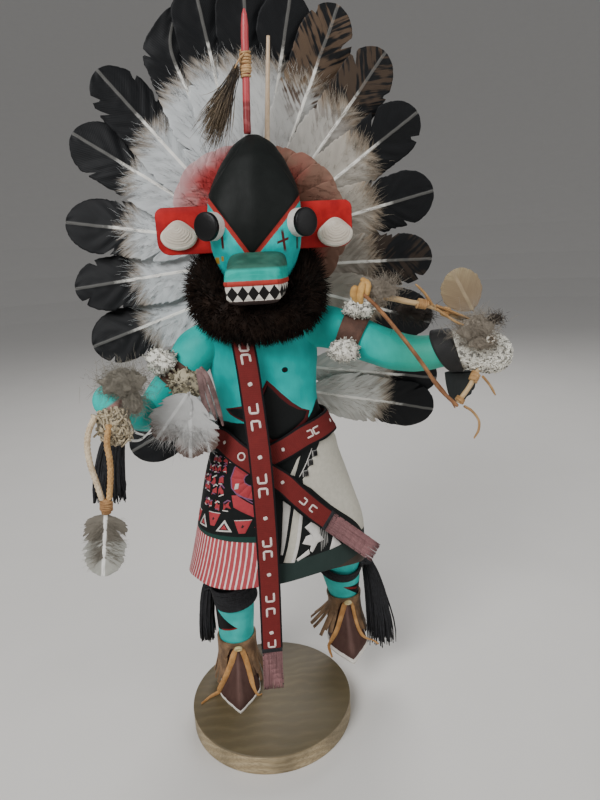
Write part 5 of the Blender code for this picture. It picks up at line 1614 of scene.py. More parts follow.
def sashFringe(shape, sheet, sign, begin, count, long, seed):
    # Loose warp ends side by side, from the band's cut to the end of the sheet.
    draw = seeded(seed)
    spots = linspace(-1, 1, count) * (sash["width"] / 2 - 0.8) + draw.normal(size=count) * 0.2
    t = linspace(0, 1, 9)
    lines = []
    for spot, share, wave in zip(spots, draw.uniform(0.985, 1.0, count), draw.uniform(0, 6, count)):
        line, normal = sashSpot(sheet, sign, begin - 0.5 + t * long * share,
                                spot * (1 + t * 0.02) + 0.12 * sin(t * 6 + wave) * t, 0.0)
        lines.append(line - normal * (0.9 - 0.2 * sin(wave * 2.3 + t * 3)[:, None]))
    shape.tubes(array(lines), 0.42 * interp(t, [0, 0.8, 1], [1, 1, 0.5]), 5)


def makeSashes():
    cloth, chalk, dark = sashLook(), chalkLook(), legLooks["black"]
    fringeLook = Look("sash_fringe_wool")
    u, v = fringeLook.along()
    pick = fringeLook.math("FRACT", u * 37.3)
    colour = fringeLook.mix(pick * 0.4 + fringeLook.noise(3.0, 3.0) * 0.6, (0.22, 0.095, 0.1),
                            (0.36, 0.185, 0.185))
    colour = fringeLook.mix(fringeLook.ramp(abs(u - 0.5), 0.455, 0.465), colour, (0.01, 0.007, 0.008))
    fringeLook.finish(colour, 0.88, fringeLook.wave(v * 14.0 + pick), 0.12)
    for name, sheet, node in (("hanging", fallSheet(), "sash_hanging"),
                              ("waist", wrapSheet(), "sash_waist")):
        out, reach = facing(sheet)
        front = out[len(out) // 2, 4] if name == "hanging" else out[0, 4]
        sign = 1 if front[1] < 0 else -1
        band, marks, fringe = Shape(), Shape(), Shape()
        if name == "hanging":
            level = sheet[:, 4, 2]
            lengthAt = lambda z: float(interp(-z, -level, reach))
            cut = lengthAt(70.0)
            hookMark(marks, sheet, sign, lengthAt(74.5), size=0.9)
            for flip, heights in ((1, sash["hooks"]), (-1, sash["turned"])):
                for z in heights:
                    hookMark(marks, sheet, sign, lengthAt(z), flip)
            for z in sash["dots"]:
                dotMark(marks, sheet, sign, lengthAt(z))
        else:
            cut = reach[169]
            lengthAt = lambda degrees: float(interp(degrees, smoothLine(sash["wrap"], 170)[:, 0],
                                                    reach[:170]))
            for at, flip in ((34, 1), (44, -1), (381, 1), (388, -1), (100, 1), (112, -1), (170, 1),
                             (182, -1), (236, 1), (246, -1)):
                hookMark(marks, sheet, sign, lengthAt(at), flip, 0.78)
            for at in (6, 74, 140, 210, 275, 309.5, 366):
                dotMark(marks, sheet, sign, lengthAt(at), 1.15)
            ring = linspace(0, turn, 15)
            line, normal = sashSpot(sheet, sign, lengthAt(331) + 2.0 * cos(ring), 2.0 * sin(ring), 0.03)
            brushStroke(marks, line, normal, 0.9)
        sashBand(band, sheet, sign, cut)
        sashFringe(fringe, sheet, sign, cut, 34, reach[-1] - cut, 77)
        t = linspace(-1, 1, 24) * (sash["width"] / 2 - 0.2)
        line, normal = sashSpot(sheet, sign, np.full(24, cut), t, -0.75)
        stitch = Shape().tubes(line, 1.6, 10, flat=0.75, first=np.cross(normal[0], unit(line[1] - line[0])))
        band.make("sash_band_" + name, cloth, "sash_paint", [node], sharp=50)
        marks.make("sash_marks_" + name, chalk, "sash_paint", sharp=0)
        fringe.make("sash_fringe_" + name, fringeLook, "sash_paint", sharp=0)
        stitch.make("sash_binding_" + name, dark, "sash_paint", sharp=0)


def onKilt(x, level, lift):
    # Painted patterns are laid out flat, 0.75 mm for each degree, and moved a little to suit the flare.
    x, level = np.asarray(x, float), np.asarray(level, float)
    moved = x + interp(level, (120, 150, 174, 188), (2.4, 3.6, 3.0, 1.0))
    degrees = (moved - x * interp(level, (150, 188), (0.016, 0.06))) / 0.75
    return bodyPoint(degrees, level, lift + kiltRipple(degrees, level))


def paintPatch(shape, corners, lift=0.16, surface=onKilt):
    # A flat patch of thick paint inside straight edges: rings from its middle to its rim, closed beneath.
    corners = array(corners, float)
    following = np.roll(corners, -1, axis=0)
    counts = np.maximum(2, (np.linalg.norm(following - corners, axis=1) / 1.2).astype(int))
    rim = concatenate([a + (b - a) * linspace(0, 1, n, endpoint=False)[:, None]
                       for a, b, n in zip(corners, following, counts)])
    middle = corners.mean(0)
    size = max(np.linalg.norm(rim - middle, axis=1).mean(), 0.6)
    rings = [(s, lift) for s in linspace(0.04, 1 - 0.18 / size, max(2, int(size / 2)))]
    rings += [(1.0, lift * 0.4), (1.0, -0.3), (0.5, -0.35), (0.05, -0.35)]
    flat = array([middle + (rim - middle) * s for s, _ in rings])
    lifts = array([l for _, l in rings])[:, None] + 0 * flat[..., 0]
    return shape.grid(surface(flat[..., 0], flat[..., 1], lifts))


def paintLine(shape, points, width, lift=0.12):
    # A thin brush line through points of the flat layout.
    points = array(points, float)
    spots = concatenate([a + (b - a) * linspace(0, 1, 7)[:, None] for a, b in zip(points, points[1:])])
    spots = spots[np.r_[True, np.linalg.norm(np.diff(spots, axis=0), axis=1) > 1e-6]]
    line = onKilt(spots[:, 0], spots[:, 1], lift * 0.3)
    above = onKilt(spots[:, 0], spots[:, 1], lift * 0.3 + 1.0)
    return brushStroke(shape, line, unit(above - line), width, lift * 2)


def around(corners, share):
    # The same shape, larger or smaller round its middle.
    corners = array(corners, float)
    middle = corners.mean(0)
    return middle + (corners - middle) * share


def paintTone(name, dark, pale):
    look = Look(name)
    colour = look.mix(look.noise(2.2, 4.0) * 0.7 + look.noise(0.6, 2.0) * 0.3, dark, pale)
    return look.finish(colour, 0.6, woodGrain(look), 0.08, shine=0.2)


kiltMarks = {  # corners are (place across, height) of the flat layout
    "hookOuter": [(-12, 181), (-19, 182), (-26, 180.5), (-30.5, 177), (-32.3, 171.5), (-30.8, 166),
                  (-26, 162), (-19.5, 160), (-12.5, 158.5)],
    "hookInner": [(-12, 175), (-16, 174.6), (-19.5, 173.8), (-22, 172.5), (-22.8, 170.8), (-22, 169),
                  (-19.5, 167.5), (-16, 166.5), (-12.5, 166)],
    # rows of flecks: height, right end, size
    "rows": [(182, -33.5, 2.1), (176, -38, 2.6), (169.4, -39.5, 2.8), (163, -38.5, 2.9),
             (156.6, -33.5, 2.8)],
    "fleck": [(-1, -1), (0.1, -0.55), (1, -0.7), (0.5, 0.2), (0.35, 1), (-0.3, 0.4), (-0.95, 0.3)],
    "triangles": [-98, -87, -76, -65, -54, -43, -33.8, -21.8],
    "panel": [(34, 186.5), (29.5, 182.5), (29.5, 179.5), (24.5, 178), (24.0, 174.8), (20, 172.5),
              (19.5, 169.5), (15.5, 167), (15.4, 164.0), (20.4, 160), (31.8, 146), (44.6, 131.5),
              (53, 121.5), (75, 121.5), (97, 122.5), (97, 150), (97, 187.5), (60, 188)],
    "cloud": [(12.6, 138.2), (16.6, 140.2), (19.2, 138.0), (21.8, 136.2), (20.4, 131.8), (22.6, 127.2),
              (18.6, 126.6), (15.4, 121.6), (14.0, 123.2), (14.8, 126.2), (10.2, 128.8), (12.6, 132.6),
              (15.6, 133.0)],
    "tones": {"red": ((0.26, 0.024, 0.034), (0.5, 0.06, 0.068)),
              "white": ((0.46, 0.43, 0.4), (0.74, 0.72, 0.68)),
              "cream": ((0.4, 0.38, 0.31), (0.64, 0.61, 0.53)),
              "grey": ((0.2, 0.19, 0.18), (0.38, 0.37, 0.35)),
              "dark": ((0.008, 0.008, 0.009), (0.02, 0.02, 0.022)),
              "purple": ((0.14, 0.05, 0.12), (0.26, 0.12, 0.22))},
}


def makeKiltMarks():
    # The embroidered look of the kilt: a red cloud hook and small stepped shapes on the right half, bars,
    # a cream panel with stepped edge, a stepped cloud and a triangle on the left half.
    shapes = {name: Shape() for name in kiltMarks["tones"]}
    red, white, cream, grey, dark, purple = shapes.values()
    outer, inner = kiltMarks["hookOuter"], kiltMarks["hookInner"]
    for a in range(8):
        paintPatch(red, [outer[a], outer[a + 1], inner[a + 1], inner[a]])
    paintLine(purple, outer, 0.9)
    paintLine(purple, inner, 0.6)
    paintPatch(white, [(-29.0, 165.2), (-26.2, 165.6), (-25.8, 168.6), (-28.6, 168.4)], 0.26)
    for x, z, turned in ((-21.5, 179.5, 0.7), (-18.5, 179.8, 0.9), (-15.8, 178.5, 0.6)):
        paintLine(white, [(x, z), (x + 1.2, z - 3.0 * turned)], 0.9, 0.26)
        paintLine(purple, [(x + 1.3, z + 0.6), (x + 2.5, z - 2.6 * turned)], 0.8, 0.24)
    paintPatch(red, [(-30.5, 161.8), (-27.0, 162.0), (-13, 154.3), (-13, 148.0), (-28.5, 155.2)])
    paintLine(purple, [(-26.5, 163.0), (-13, 155.5)], 0.7)
    draw = seeded(3)
    for row, (z, right, size) in enumerate(kiltMarks["rows"]):
        for k in range(5):
            x, spin = right - k * size * 2.7 - draw.uniform(0, 1.6), (1, -1)[(k + row) % 2]
            z, size = z + draw.uniform(-0.9, 0.9), size * draw.uniform(0.8, 1.02)
            spots = array(kiltMarks["fleck"])
            spots = (spots + draw.uniform(-0.4, 0.4, spots.shape)) * [size * spin, size]
            paintPatch(red, spots[::spin] + [x, z])
            a, b = draw.uniform(0.5, 1.2, 2) * size
            paintLine(white if k % 2 else purple, [(x - a, z + b * 0.5), (x + a * 0.2, z + b * 1.1),
                                                   (x + b, z + a)], 0.8)
            paintLine(purple if k % 2 else white, [(x - b * spin, z - a), (x + a * 0.6 * spin, z - b)], 0.7)
    for k, x in enumerate(kiltMarks["triangles"]):
        z = 144.5 - 0.1 * (x + 22) / 2 + (2.6 if k == 5 else -0.6 if k in (6, 4) else 0)
        shape = [(x - 5.6, z + 3.3), (x + 5.4, z + 3.3), (x + 1.8, z - 4.1), (x - 2.0, z - 4.1)]
        if k % 2 == 0:
            shape = [(x - 5.8, z - 3.2), (x + 5.8, z - 3.2), (x, z + 3.6)]
            paintPatch(white, around(shape, 1.0), 0.12)
            paintPatch(dark, around(shape, 0.64), 0.17)
            paintPatch(red, around(shape, 0.42), 0.22)
        else:
            paintPatch(red, shape)
            paintPatch(dark, [(x - 1, z - 0.5), (x, z + 1), (x + 1.1, z), (x, z - 1.2)], 0.24)
            paintLine(white, [shape[0], shape[1]], 0.5)
    paintPatch(red, [(-15, 143.5), (-12, 144), (-12.5, 139.5)], 0.16)

    paintPatch(white, [(1.6, 156.5), (5.8, 152.5), (-0.1, 124.6), (-1.2, 125.3)])
    paintPatch(cream, [(7.5, 150.6), (10.8, 146.6), (4.4, 118.7), (0.4, 120.0)])
    paintPatch(white, [(10.6, 146.9), (12.3, 145.0), (6.0, 118.3), (4.2, 118.8)], 0.2)
    paintPatch(cream, [(15.6, 181.0), (12.8, 179.0), (7.4, 171.0), (10.2, 169.6)])
    paintLine(white, [(25.5, 184), (19.5, 176), (13.2, 168.5)], 0.5)
    paintPatch(cream, kiltMarks["panel"])
    for x, z in ((27.0, 180.5), (22.4, 175.7), (17.8, 169.8)):
        tile = [(x - 2.2, z - 1.9), (x + 2.2, z - 1.9), (x + 2.4, z + 1.9), (x - 2.0, z + 1.9)]
        paintPatch(grey, tile, 0.24)
        for step in (-1.2, 0, 1.2):
            paintLine(dark, [(x + step, z - 1.7), (x + step + 0.3, z + 1.7)], 0.3, 0.5)
    paintPatch(white, kiltMarks["cloud"])
    paintPatch(white, [(13.4, 124.4), (14.0, 121.2), (7.6, 118.7), (7.0, 120.2)])
    for x in linspace(21.2, 25.4, 5):
        paintLine(grey, [(x, 136.8 - (x - 21) * 0.2), (x - 0.8, 120.5 + (x - 21) * 0.8)], 0.45)
    paintPatch(white, [(28.5, 127.0), (25.6, 119.4), (33.9, 119.9)])
    for name, tones in kiltMarks["tones"].items():
        shapes[name].make("kilt_paint_" + name, paintTone("kilt_" + name, *tones), "black_paint", sharp=0)


def onTorso(x, level, lift):
    return bodyPoint(np.asarray(x) / 0.53, level, lift + torsoLift(np.asarray(x) / 0.53, level))


belly = {
    "middle": (0.5, 205.0),
    "corners": [(0.5, 225), (4, 221.5), (8, 217), (14, 211.2), (20, 206.8), (26, 204.8), (22, 200.3),
                (16, 196.5), (9, 192.5), (3, 189.5), (-2, 189.0), (-6, 193.0), (-10.5, 197), (-15, 201.0),
                (-20, 203.0), (-27, 205.6), (-31, 208.5), (-22, 210.0), (-16, 211.0), (-10.5, 212),
                (-5, 217.0)],
}


def makeTorsoMarks():
    # A black belly patch with a dark red edge, and one black dot on the chest.
    red, black = Shape(), Shape()
    middle = array(belly["middle"])
    for shape, inset, lift in ((red, 0.0, 0.12), (black, 2.6, 0.2)):
        corners = array(belly["corners"]) - middle
        corners *= 1 - inset / np.linalg.norm(corners, axis=1, keepdims=True)
        paintPatch(shape, corners + middle, lift, onTorso)
    t = angles(14)
    paintPatch(black, stack([10.8 + 1.7 * cos(t), 230 + 1.5 * sin(t)], -1), 0.2, onTorso)
    red.make("belly_edge", paintTone("belly_red", (0.048, 0.005, 0.006), (0.105, 0.01, 0.011)), "red_paint",
             sharp=0)
    black.make("belly_patch", paintTone("belly_black", (0.002, 0.003, 0.003), (0.006, 0.007, 0.007)),
               "black_paint", sharp=0)


makeSashes()
makeKiltMarks()
makeTorsoMarks()
print("sashes and painted marks are made")


# Arms, bands and lace.
arms = {
    "right": [(-6, 4, 244, 9.0), (-24, 2, 243, 12.0), (-34, 1, 233, 11.2), (-45, 1, 220, 10.2),
              (-54, 0, 209, 9.8), (-59, -6, 209, 9.6), (-62, -14, 213, 9.0), (-65, -22, 218, 8.2),
              (-68, -28, 222, 8.6), (-70.5, -34, 226, 8.4), (-71.5, -37, 228, 6.5)],
    "left": [(22, 3, 246, 9.0), (41, 1, 250, 11.6), (55, -3, 246.4, 11.4), (68, -7, 240.6, 11.0),
             (80, -10, 236, 10.6), (90, -13, 234, 10.0), (98, -17, 234.6, 9.4), (107, -22, 236.3, 8.6),
             (115, -25, 236.4, 8.4), (123, -28, 236, 9.2), (130, -30, 234, 8.4), (135, -31, 232.5, 5.5)],
    "lace": [(106.5, -22.3, 238.2, 8.4), (112, -24, 237.4, 10.4), (118, -26.2, 236.6, 11.6),
             (124, -28.2, 236, 12.0), (131, -30.2, 233.6, 10.8), (137.6, -31.6, 231, 6.0)],
    "band": {"right": (0.19, 0.27), "left": (0.165, 0.24)}, "cuff": (0.6, 0.69), "thick": 1.4,
    "cuffThick": 2.6,
}


def limbLine(stations, count, share=(0.0, 1.0)):
    # Middle, radius and frame of a limb between two shares of its stations.
    rows = np.column_stack([np.arange(len(stations)), array(stations, float)])
    line = smoothRows(rows, linspace(*share, count) * (len(stations) - 1))[:, 1:]
    ahead, side, up = (v[0] for v in carried(line[None, :, :3], (0, 1.0, 0)))
    return line[:, :3], line[:, 3], ahead, side, up


def limbPoint(frame, row, angle, lift=0.0):
    middle, radius, _, side, up = frame
    out = side[row] * cos(angle)[..., None] + up[row] * sin(angle)[..., None]
    return middle[row] + out * (radius[row] + lift)[..., None], out


def makeArm(side, sign):
    # A tube round the arm's line with a rounded end, elbow and muscle swells, and four fingers grooved
    # across the closed fist.
    rows, columns = 170, 72
    frame = limbLine(arms[side], rows)
    row, angle = np.meshgrid(np.arange(rows), angles(columns), indexing="ij")
    left = (rows - 1 - row) / (rows - 1) * (len(arms[side]) - 1)
    round = sqrt(1 - clip(1 - left / 1.1, 0, 0.995) ** 2)
    fist = ease(2.1, 1.5, left)
    groove = sum(exp(-((np.mod(angle - at + math.pi, turn) - math.pi) / 0.1) ** 2) for at in (2.5, 3.1, 3.7))
    points, _ = limbPoint(frame, row, angle)
    lift = frame[1][row] * (round - 1) - 0.8 * groove * fist * round + 0.16 * lumps(points, 11.0, 61 + sign)
    points = limbPoint(frame, row, angle, lift)[0]
    look = Look("turquoise_arm_" + side)
    colour = look.clouded(20.0, (0.003, 0.335, 0.3), (0.01, 0.47, 0.42))
    greener = look.ramp(look.x, 58.0, 96.0) * (0.75 if side == "left" else 0.0)
    colour = look.mix(greener, colour, (0.045, 0.37, 0.25))
    if side == "right":
        palm = look.ramp(look.z - look.x * 0.6, 266.0, 264.0) * look.ramp(look.y, -29.0, -31.0)
        colour = look.mix(palm * 0.8, colour, (0.42, 0.085, 0.075))
    paintOn(look, colour)
    Shape().grid(points).make("arm_skin_" + side, look, "turquoise_paint", ["arm_" + side])


def sleeveBand(shape, frame, inner, thick, tilt=0.0):
    # A leather band round the limb: a ring whose section has eased corners. Its lower side is pushed
    # along the limb by the tilt.
    count, columns = len(frame[0]), 72
    angle = angles(columns)
    pick = np.arange(count)
    row = concatenate([pick, pick[::-1], pick[:1]])
    lifts = concatenate([np.r_[inner + thick * 0.5, inner + thick * 0.9, np.full(count - 4, inner + thick),
                               inner + thick * 0.9, inner + thick * 0.5], np.full(count, inner),
                         [inner + thick * 0.5]])
    row, angle = np.meshgrid(row, angle, indexing="ij")
    points, _ = limbPoint(frame, row, angle, np.broadcast_to(lifts[:, None], row.shape))
    points += frame[2][row] * (tilt * (frame[0][row][..., 2:] - points[..., 2:]))
    return shape.grid(points, ends=False)


def threadLoops(shape, spots, normals, size, thread, seed, oval=0.75, stand=0.35):
    # Crochet: small closed loops of thread that stand a little off the ground and overlap.
    draw = seeded(seed)
    count = len(spots)
    spin = draw.normal(size=(count, 3))
    u = unit(spin - normals * (spin * normals).sum(-1, keepdims=True)
             + normals * draw.normal(size=(count, 1)) * stand)
    v = np.cross(normals, u)
    t = linspace(0, turn * 0.985, 11)[None, :, None]
    sizes = size * draw.uniform(0.65, 1.25, (count, 1, 1))
    lines = spots[:, None] + sizes * (u[:, None] * cos(t) + v[:, None] * sin(t) * oval)
    lines += normals[:, None] * (stand * sin(2 * t + draw.uniform(0, 6, (count, 1, 1))) * size)
    return shape.tubes(lines, thread, 5)


def ballGrid(rows, columns, gap):
    # Directions over a ball (row, column, xyz) from pole to pole; the gap is left open at both poles.
    a, b = angles(columns)[None, :], linspace(gap, math.pi - gap, rows)[:, None]
    return xyz(sin(b) * cos(a), sin(b) * sin(a), cos(b))


def laceTuft(shape, node, seed, count=230, size=1.25, thread=0.36, grow=(1.35, 1.0, 1.1)):
    # A crumpled scrap of lace over the tuft's solid: a creased core with loops of thread lying on it.
    low, high = (array(v) * 1000 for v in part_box(node))
    middle, half = (low + high) / 2, (high - low) / 2 * array(grow)
    draw = seeded(seed)
    way = unit(draw.normal(size=(count, 3)))
    ball = ballGrid(18, 30, 0.06)
    creased = lambda way: 0.84 + 0.17 * lumps(way, 0.9, seed)[..., None] + 0.11 * lumps(way, 0.3,
                                                                                        seed + 1)[..., None]
    shape.grid(middle + ball * half * creased(ball))
    return threadLoops(shape, middle + way * half * creased(way), way, size, thread, seed, 0.75, 0.05)


def laceLook(name, white, shade):
    look = Look(name)
    thread = look.noise(0.45, 3.0)
    # The dark spots are painted shade, standing in for the holes between the loops.
    pores = look.ramp(look.noise(2.2, 2.0), 0.46, 0.4)
    colour = look.mix(thread * 0.6 + look.noise(4.0, 2.0) * 0.4, shade, white)
    colour = look.mix(pores * 0.75, colour, (0.05, 0.045, 0.04))
    return look.finish(colour, 0.85, thread, 0.15)


def makeBands():
    brown = leatherLook("armband_leather", (0.06, 0.024, 0.014), (0.125, 0.055, 0.034))
    black = leatherLook("cuff_leather", (0.004, 0.004, 0.004), (0.012, 0.011, 0.011))
    for side in ("right", "left"):
        band = sleeveBand(Shape(), limbLine(arms[side], 16, arms["band"][side]), 0.6, arms["thick"])
        band.make("armband_leather_" + side, brown, "brown_leather", ["armband_" + side])
    cuff = sleeveBand(Shape(), limbLine(arms["left"], 18, arms["cuff"]), 0.5, arms["cuffThick"], 0.34)
    cuff.make("cuff_leather_left", black, "brown_leather", ["wrist_cuff_left"])
    white = laceLook("white_lace", (0.88, 0.86, 0.78), (0.62, 0.6, 0.52))
    cream = laceLook("cream_lace", (0.52, 0.46, 0.33), (0.3, 0.26, 0.17))
    for number, name in enumerate(("right_upper", "right_front", "left_upper", "left_lower")):
        look = cream if name == "right_front" else white
        big = {"size": 2.7, "thread": 0.5, "count": 90, "grow": (1.5, 1.1,
                                                                 1.5)} if name == "right_front" else {}
        tuft = laceTuft(Shape(), "armband_lace_" + name, 70 + number, **big)
        tuft.make("lace_" + name, look, "lace", ["armband_lace_" + name], sharp=0)

    # The left fist wears a crocheted mitten: a soft core under overlapping loops.
    rows, columns = 60, 56
    frame = limbLine(arms["lace"], rows)
    row, angle = np.meshgrid(np.arange(rows), angles(columns), indexing="ij")
    roundEnd = lambda row: sqrt(1 - clip(1 - (rows - 1 - row) / 9, 0, 0.99) ** 2)
    end = roundEnd(row) * sqrt(1 - clip(1 - (row + 1) / 5, 0, 0.8) ** 2)
    points, _ = limbPoint(frame, row, angle)
    lift = frame[1][row] * (end - 1) * 0.9 - 1.7 + 0.4 * lumps(points, 3.5, 5)
    mitten = Shape().grid(limbPoint(frame, row, angle, lift)[0])
    draw = seeded(12)
    count = 620
    row, angle = draw.integers(3, rows - 2, count), draw.uniform(0, turn, count)
    spots, normals = limbPoint(frame, row, angle, frame[1][row] * (roundEnd(row) - 1) - 1.1)
    threadLoops(mitten, spots, normals, 1.35, 0.4, 13, 0.75, 0.2)
    mitten.make("fist_mitten", white, "lace", ["fist_lace"], sharp=0)


def fluffBall(shape, centre, spread, count, long, seed, lean=(0, 0, 0), thread=0.11, core=0.0):
    # Marabou: soft curled barbs that start near a point and lean one way, over a lumpy core.
    draw = seeded(seed)
    if core:
        ball = ballGrid(16, 28, 0.05)
        rough = 1 + 0.25 * lumps(ball, 0.8, seed) + 0.08 * lumps(ball, 0.2, seed + 1)
        shape.grid(array(centre) + ball * array(spread) * core * rough[..., None])
    t = steps(6)
    way = unit(draw.normal(size=(count, 3)) + array(lean))
    start = array(centre) + draw.normal(size=(count, 3)) * array(spread) * 0.45
    bend = draw.normal(size=(count, 1, 3))
    lines = start[:, None] + long * draw.uniform(0.5, 1.2, (count, 1, 1)) * (way[:, None] * t
                                                                             + bend * 0.3 * t * t)
    lines += sin(t * 9 + draw.uniform(0, 6, (count, 1, 1))) * bend * 0.25 * t
    return shape.tubes(lines, thread * interp(t[0, :, 0], [0, 0.6, 1], [1, 0.9, 0.3]), 3)


def fluffLook(name, dark, pale):
    look = Look(name)
    pick = look.math("FRACT", look.along()[0] * 417.3)
    return look.finish(look.mix(pick * 0.7 + look.noise(4.0, 2.0) * 0.3, dark, pale), 0.8,
                       look.noise(0.5, 2.0), 0.1)


fluffs = {  # look, dark and pale tone, thread, core, then balls: centre, spread, strands, length, seed, lean
    "armband_down": ("grey_down", (0.3, 0.28, 0.26), (0.56, 0.56, 0.55), 0.08, 0.0, [
        ((-43, -24, 205), (9, 1.5, 5), 420, 8.0, 41, (-1.0, 0, -0.6)),
        ((-31, -24, 200), (9, 1.5, 7), 300, 7.0, 42, (0, 0, -1.2))]),
    "hand_down": ("grey_brown_down", (0.085, 0.072, 0.052), (0.36, 0.33, 0.27), 0.08, 0.8, [
        ((-60.8, -39.6, 234.8), (12.5, 3.5, 7.5), 1400, 7.0, 51, (-0.1, -0.2, 0.3)),
        ((-57.5, -38.5, 224.5), (6, 3, 7), 600, 6.0, 52, (0.1, -0.2, -0.4))]),
    "bow_down": ("bow_down", (0.11, 0.085, 0.06), (0.42, 0.37, 0.3), 0.08, 0.8, [
        ((67.5, -39.0, 271.5), (8, 3, 4.5), 800, 6.5, 61, (0.2, 0, 0.5)),
        ((115.0, -38.5, 250.0), (11, 3, 7), 1200, 7.0, 62, (-0.1, -0.2, 0.3)),
        ((119.0, -39.5, 243.0), (8, 3, 4), 500, 6.0, 66, (0.1, -0.2, -0.2))]),
    "bow_dark_down": ("dark_down", (0.008, 0.006, 0.005), (0.06, 0.042, 0.03), 0.12, 0.7, [
        ((84.0, -19.0, 259.0), (6, 2, 4), 300, 7.0, 64, (0.9, 0, -0.3)),
        ((93.0, -19.0, 255.5), (6, 2, 3), 300, 6.0, 65, (0.9, 0, -0.2)),
        ((125.5, -38.0, 254.2), (5.0, 2, 3.0), 260, 3.2, 67, (0.5, 0, -0.2))]),
}


def makeFluffs():
    for name, (lookName, dark, pale, thread, core, balls) in fluffs.items():
        shape = Shape()
        for ball in balls:
            fluffBall(shape, *ball, thread, core)
        shape.make(name, fluffLook(lookName, dark, pale), "down", sharp=0)


def strips(shape, rows, count, shares, falls, thick, first):
    # Flat strips, each (points, width); the falls are the width's shares at those shares of the length.
    for points, wide in rows:
        strip(shape, evenLine(points, count), wide * interp(linspace(0, 1, count), shares, falls), thick,
              first)
    return shape


armbandFeather = {
    "plumes": [  # root, tip, half width, seed, splits
        ((-31.0, -24, 224), (-34.0, -24, 187.5), 12.5, 5, 4), ((-31.0, -23.2, 223), (-23.5, -23.6, 190), 9.5,
                                                               6, 3),
        ((-31.5, -24.6, 224), (-50.5, -24.8, 200), 11.0, 7, 2)],
    "strips": [([(-24.5, -20, 236), (-21, -22.5, 230), (-17.8, -23.2, 218), (-15.4, -23.2, 204)], 2.6),
               ([(-25, -20, 235), (-22.6, -22.8, 226), (-20.2, -23.4, 215), (-18.8, -23.0, 207.5)], 2.4),
               ([(-26, -20, 235), (-25.0, -23, 228), (-24.2, -23.6, 219), (-22.0, -23.2, 212)], 3.0)],
}


def makeArmbandFeathers():
    # Under the right armband hang broad grey-white feathers with brown ends and narrow leather strips.
    look = featherLook("armband_feather_vane", 38.0, 12.0, (0.52, 0.52, 0.51), tip=(0.11, 0.075, 0.062),
                       tipLength=5.0, brown=(0.3, 0.26, 0.24), quillTone=(0.56, 0.56, 0.55), seed=4.0,
                       grey=0.0)
    fan = Shape()
    for root, tip, half, seed, splits in armbandFeather["plumes"]:
        plume(fan, root, tip, half, (0, -1, 0), 0.04, 0.6, seed, 60, 0.35, ragged=(1.0, 1.6), splits=splits,
              cup=1.2)
    fan.make("armband_plumes", look, "feather", ["armband_feather"], sharp=0)
    hung = strips(Shape(), armbandFeather["strips"], 24, [0, 0.15, 0.8, 1], [0.6, 1, 0.9, 0.4], 0.8,
                  (1.0, 0, 0))
    leather = leatherLook("strip_leather", (0.05, 0.022, 0.02), (0.25, 0.15, 0.14))
    hung.make("armband_strips", leather, "brown_leather", sharp=55)


hand = {
    "lace": (-68.6, -37.5, 212.8), "laceHalf": (8.2, 4.2, 9.6), "loops": 300,
    "laceEnds": [([(-62, -37, 212), (-58.5, -36, 208), (-54.5, -34.8, 206), (-51, -34, 206.4)], 1.0),
                 ([(-64, -37, 205), (-58, -35.6, 203.5), (-54, -34.6, 205.5), (-50.5, -34, 209)], 1.0)],
    "tie": (-76.3, -42.6, 172.6), "tieCore": [(-76.8, -42.6, 168.6), (-76.4, -42.6, 172.6),
                                              (-76.0, -42.6, 176.2)],
    "feather": ((-77, -42.6, 169), (-83.2, -42.6, 133.2)), "yarn": (((-73, -20, 201), 5.4, 3.6),
                                                                    ((-80, -20, 165.5), 8.8, 5.0)),
}


def pendantLook():
    # A grey vane that is brown near its root, beside a pale quill.
    look = featherLook("pendant_feather", 36.0, 11.0, (0.42, 0.42, 0.38), tip=(0.36, 0.37, 0.33),
                       tipLength=2.0, brown=(0.36, 0.35, 0.31), quillTone=(0.78, 0.77, 0.73), seed=9.0,
                       grey=0.0)
    u, v = look.along()
    browned = look.ramp(v + look.noise(5.0, 3.0) * 0.3, 0.62, 0.52) * 0.85 * look.ramp(abs(u - 0.5), 0.035,
                                                                                       0.06)
    colour = look.shader.inputs["Base Color"]
    look.feed(colour, look.mix(browned, Value(look, colour.links[0].from_socket), (0.135, 0.115, 0.088)))
    return look


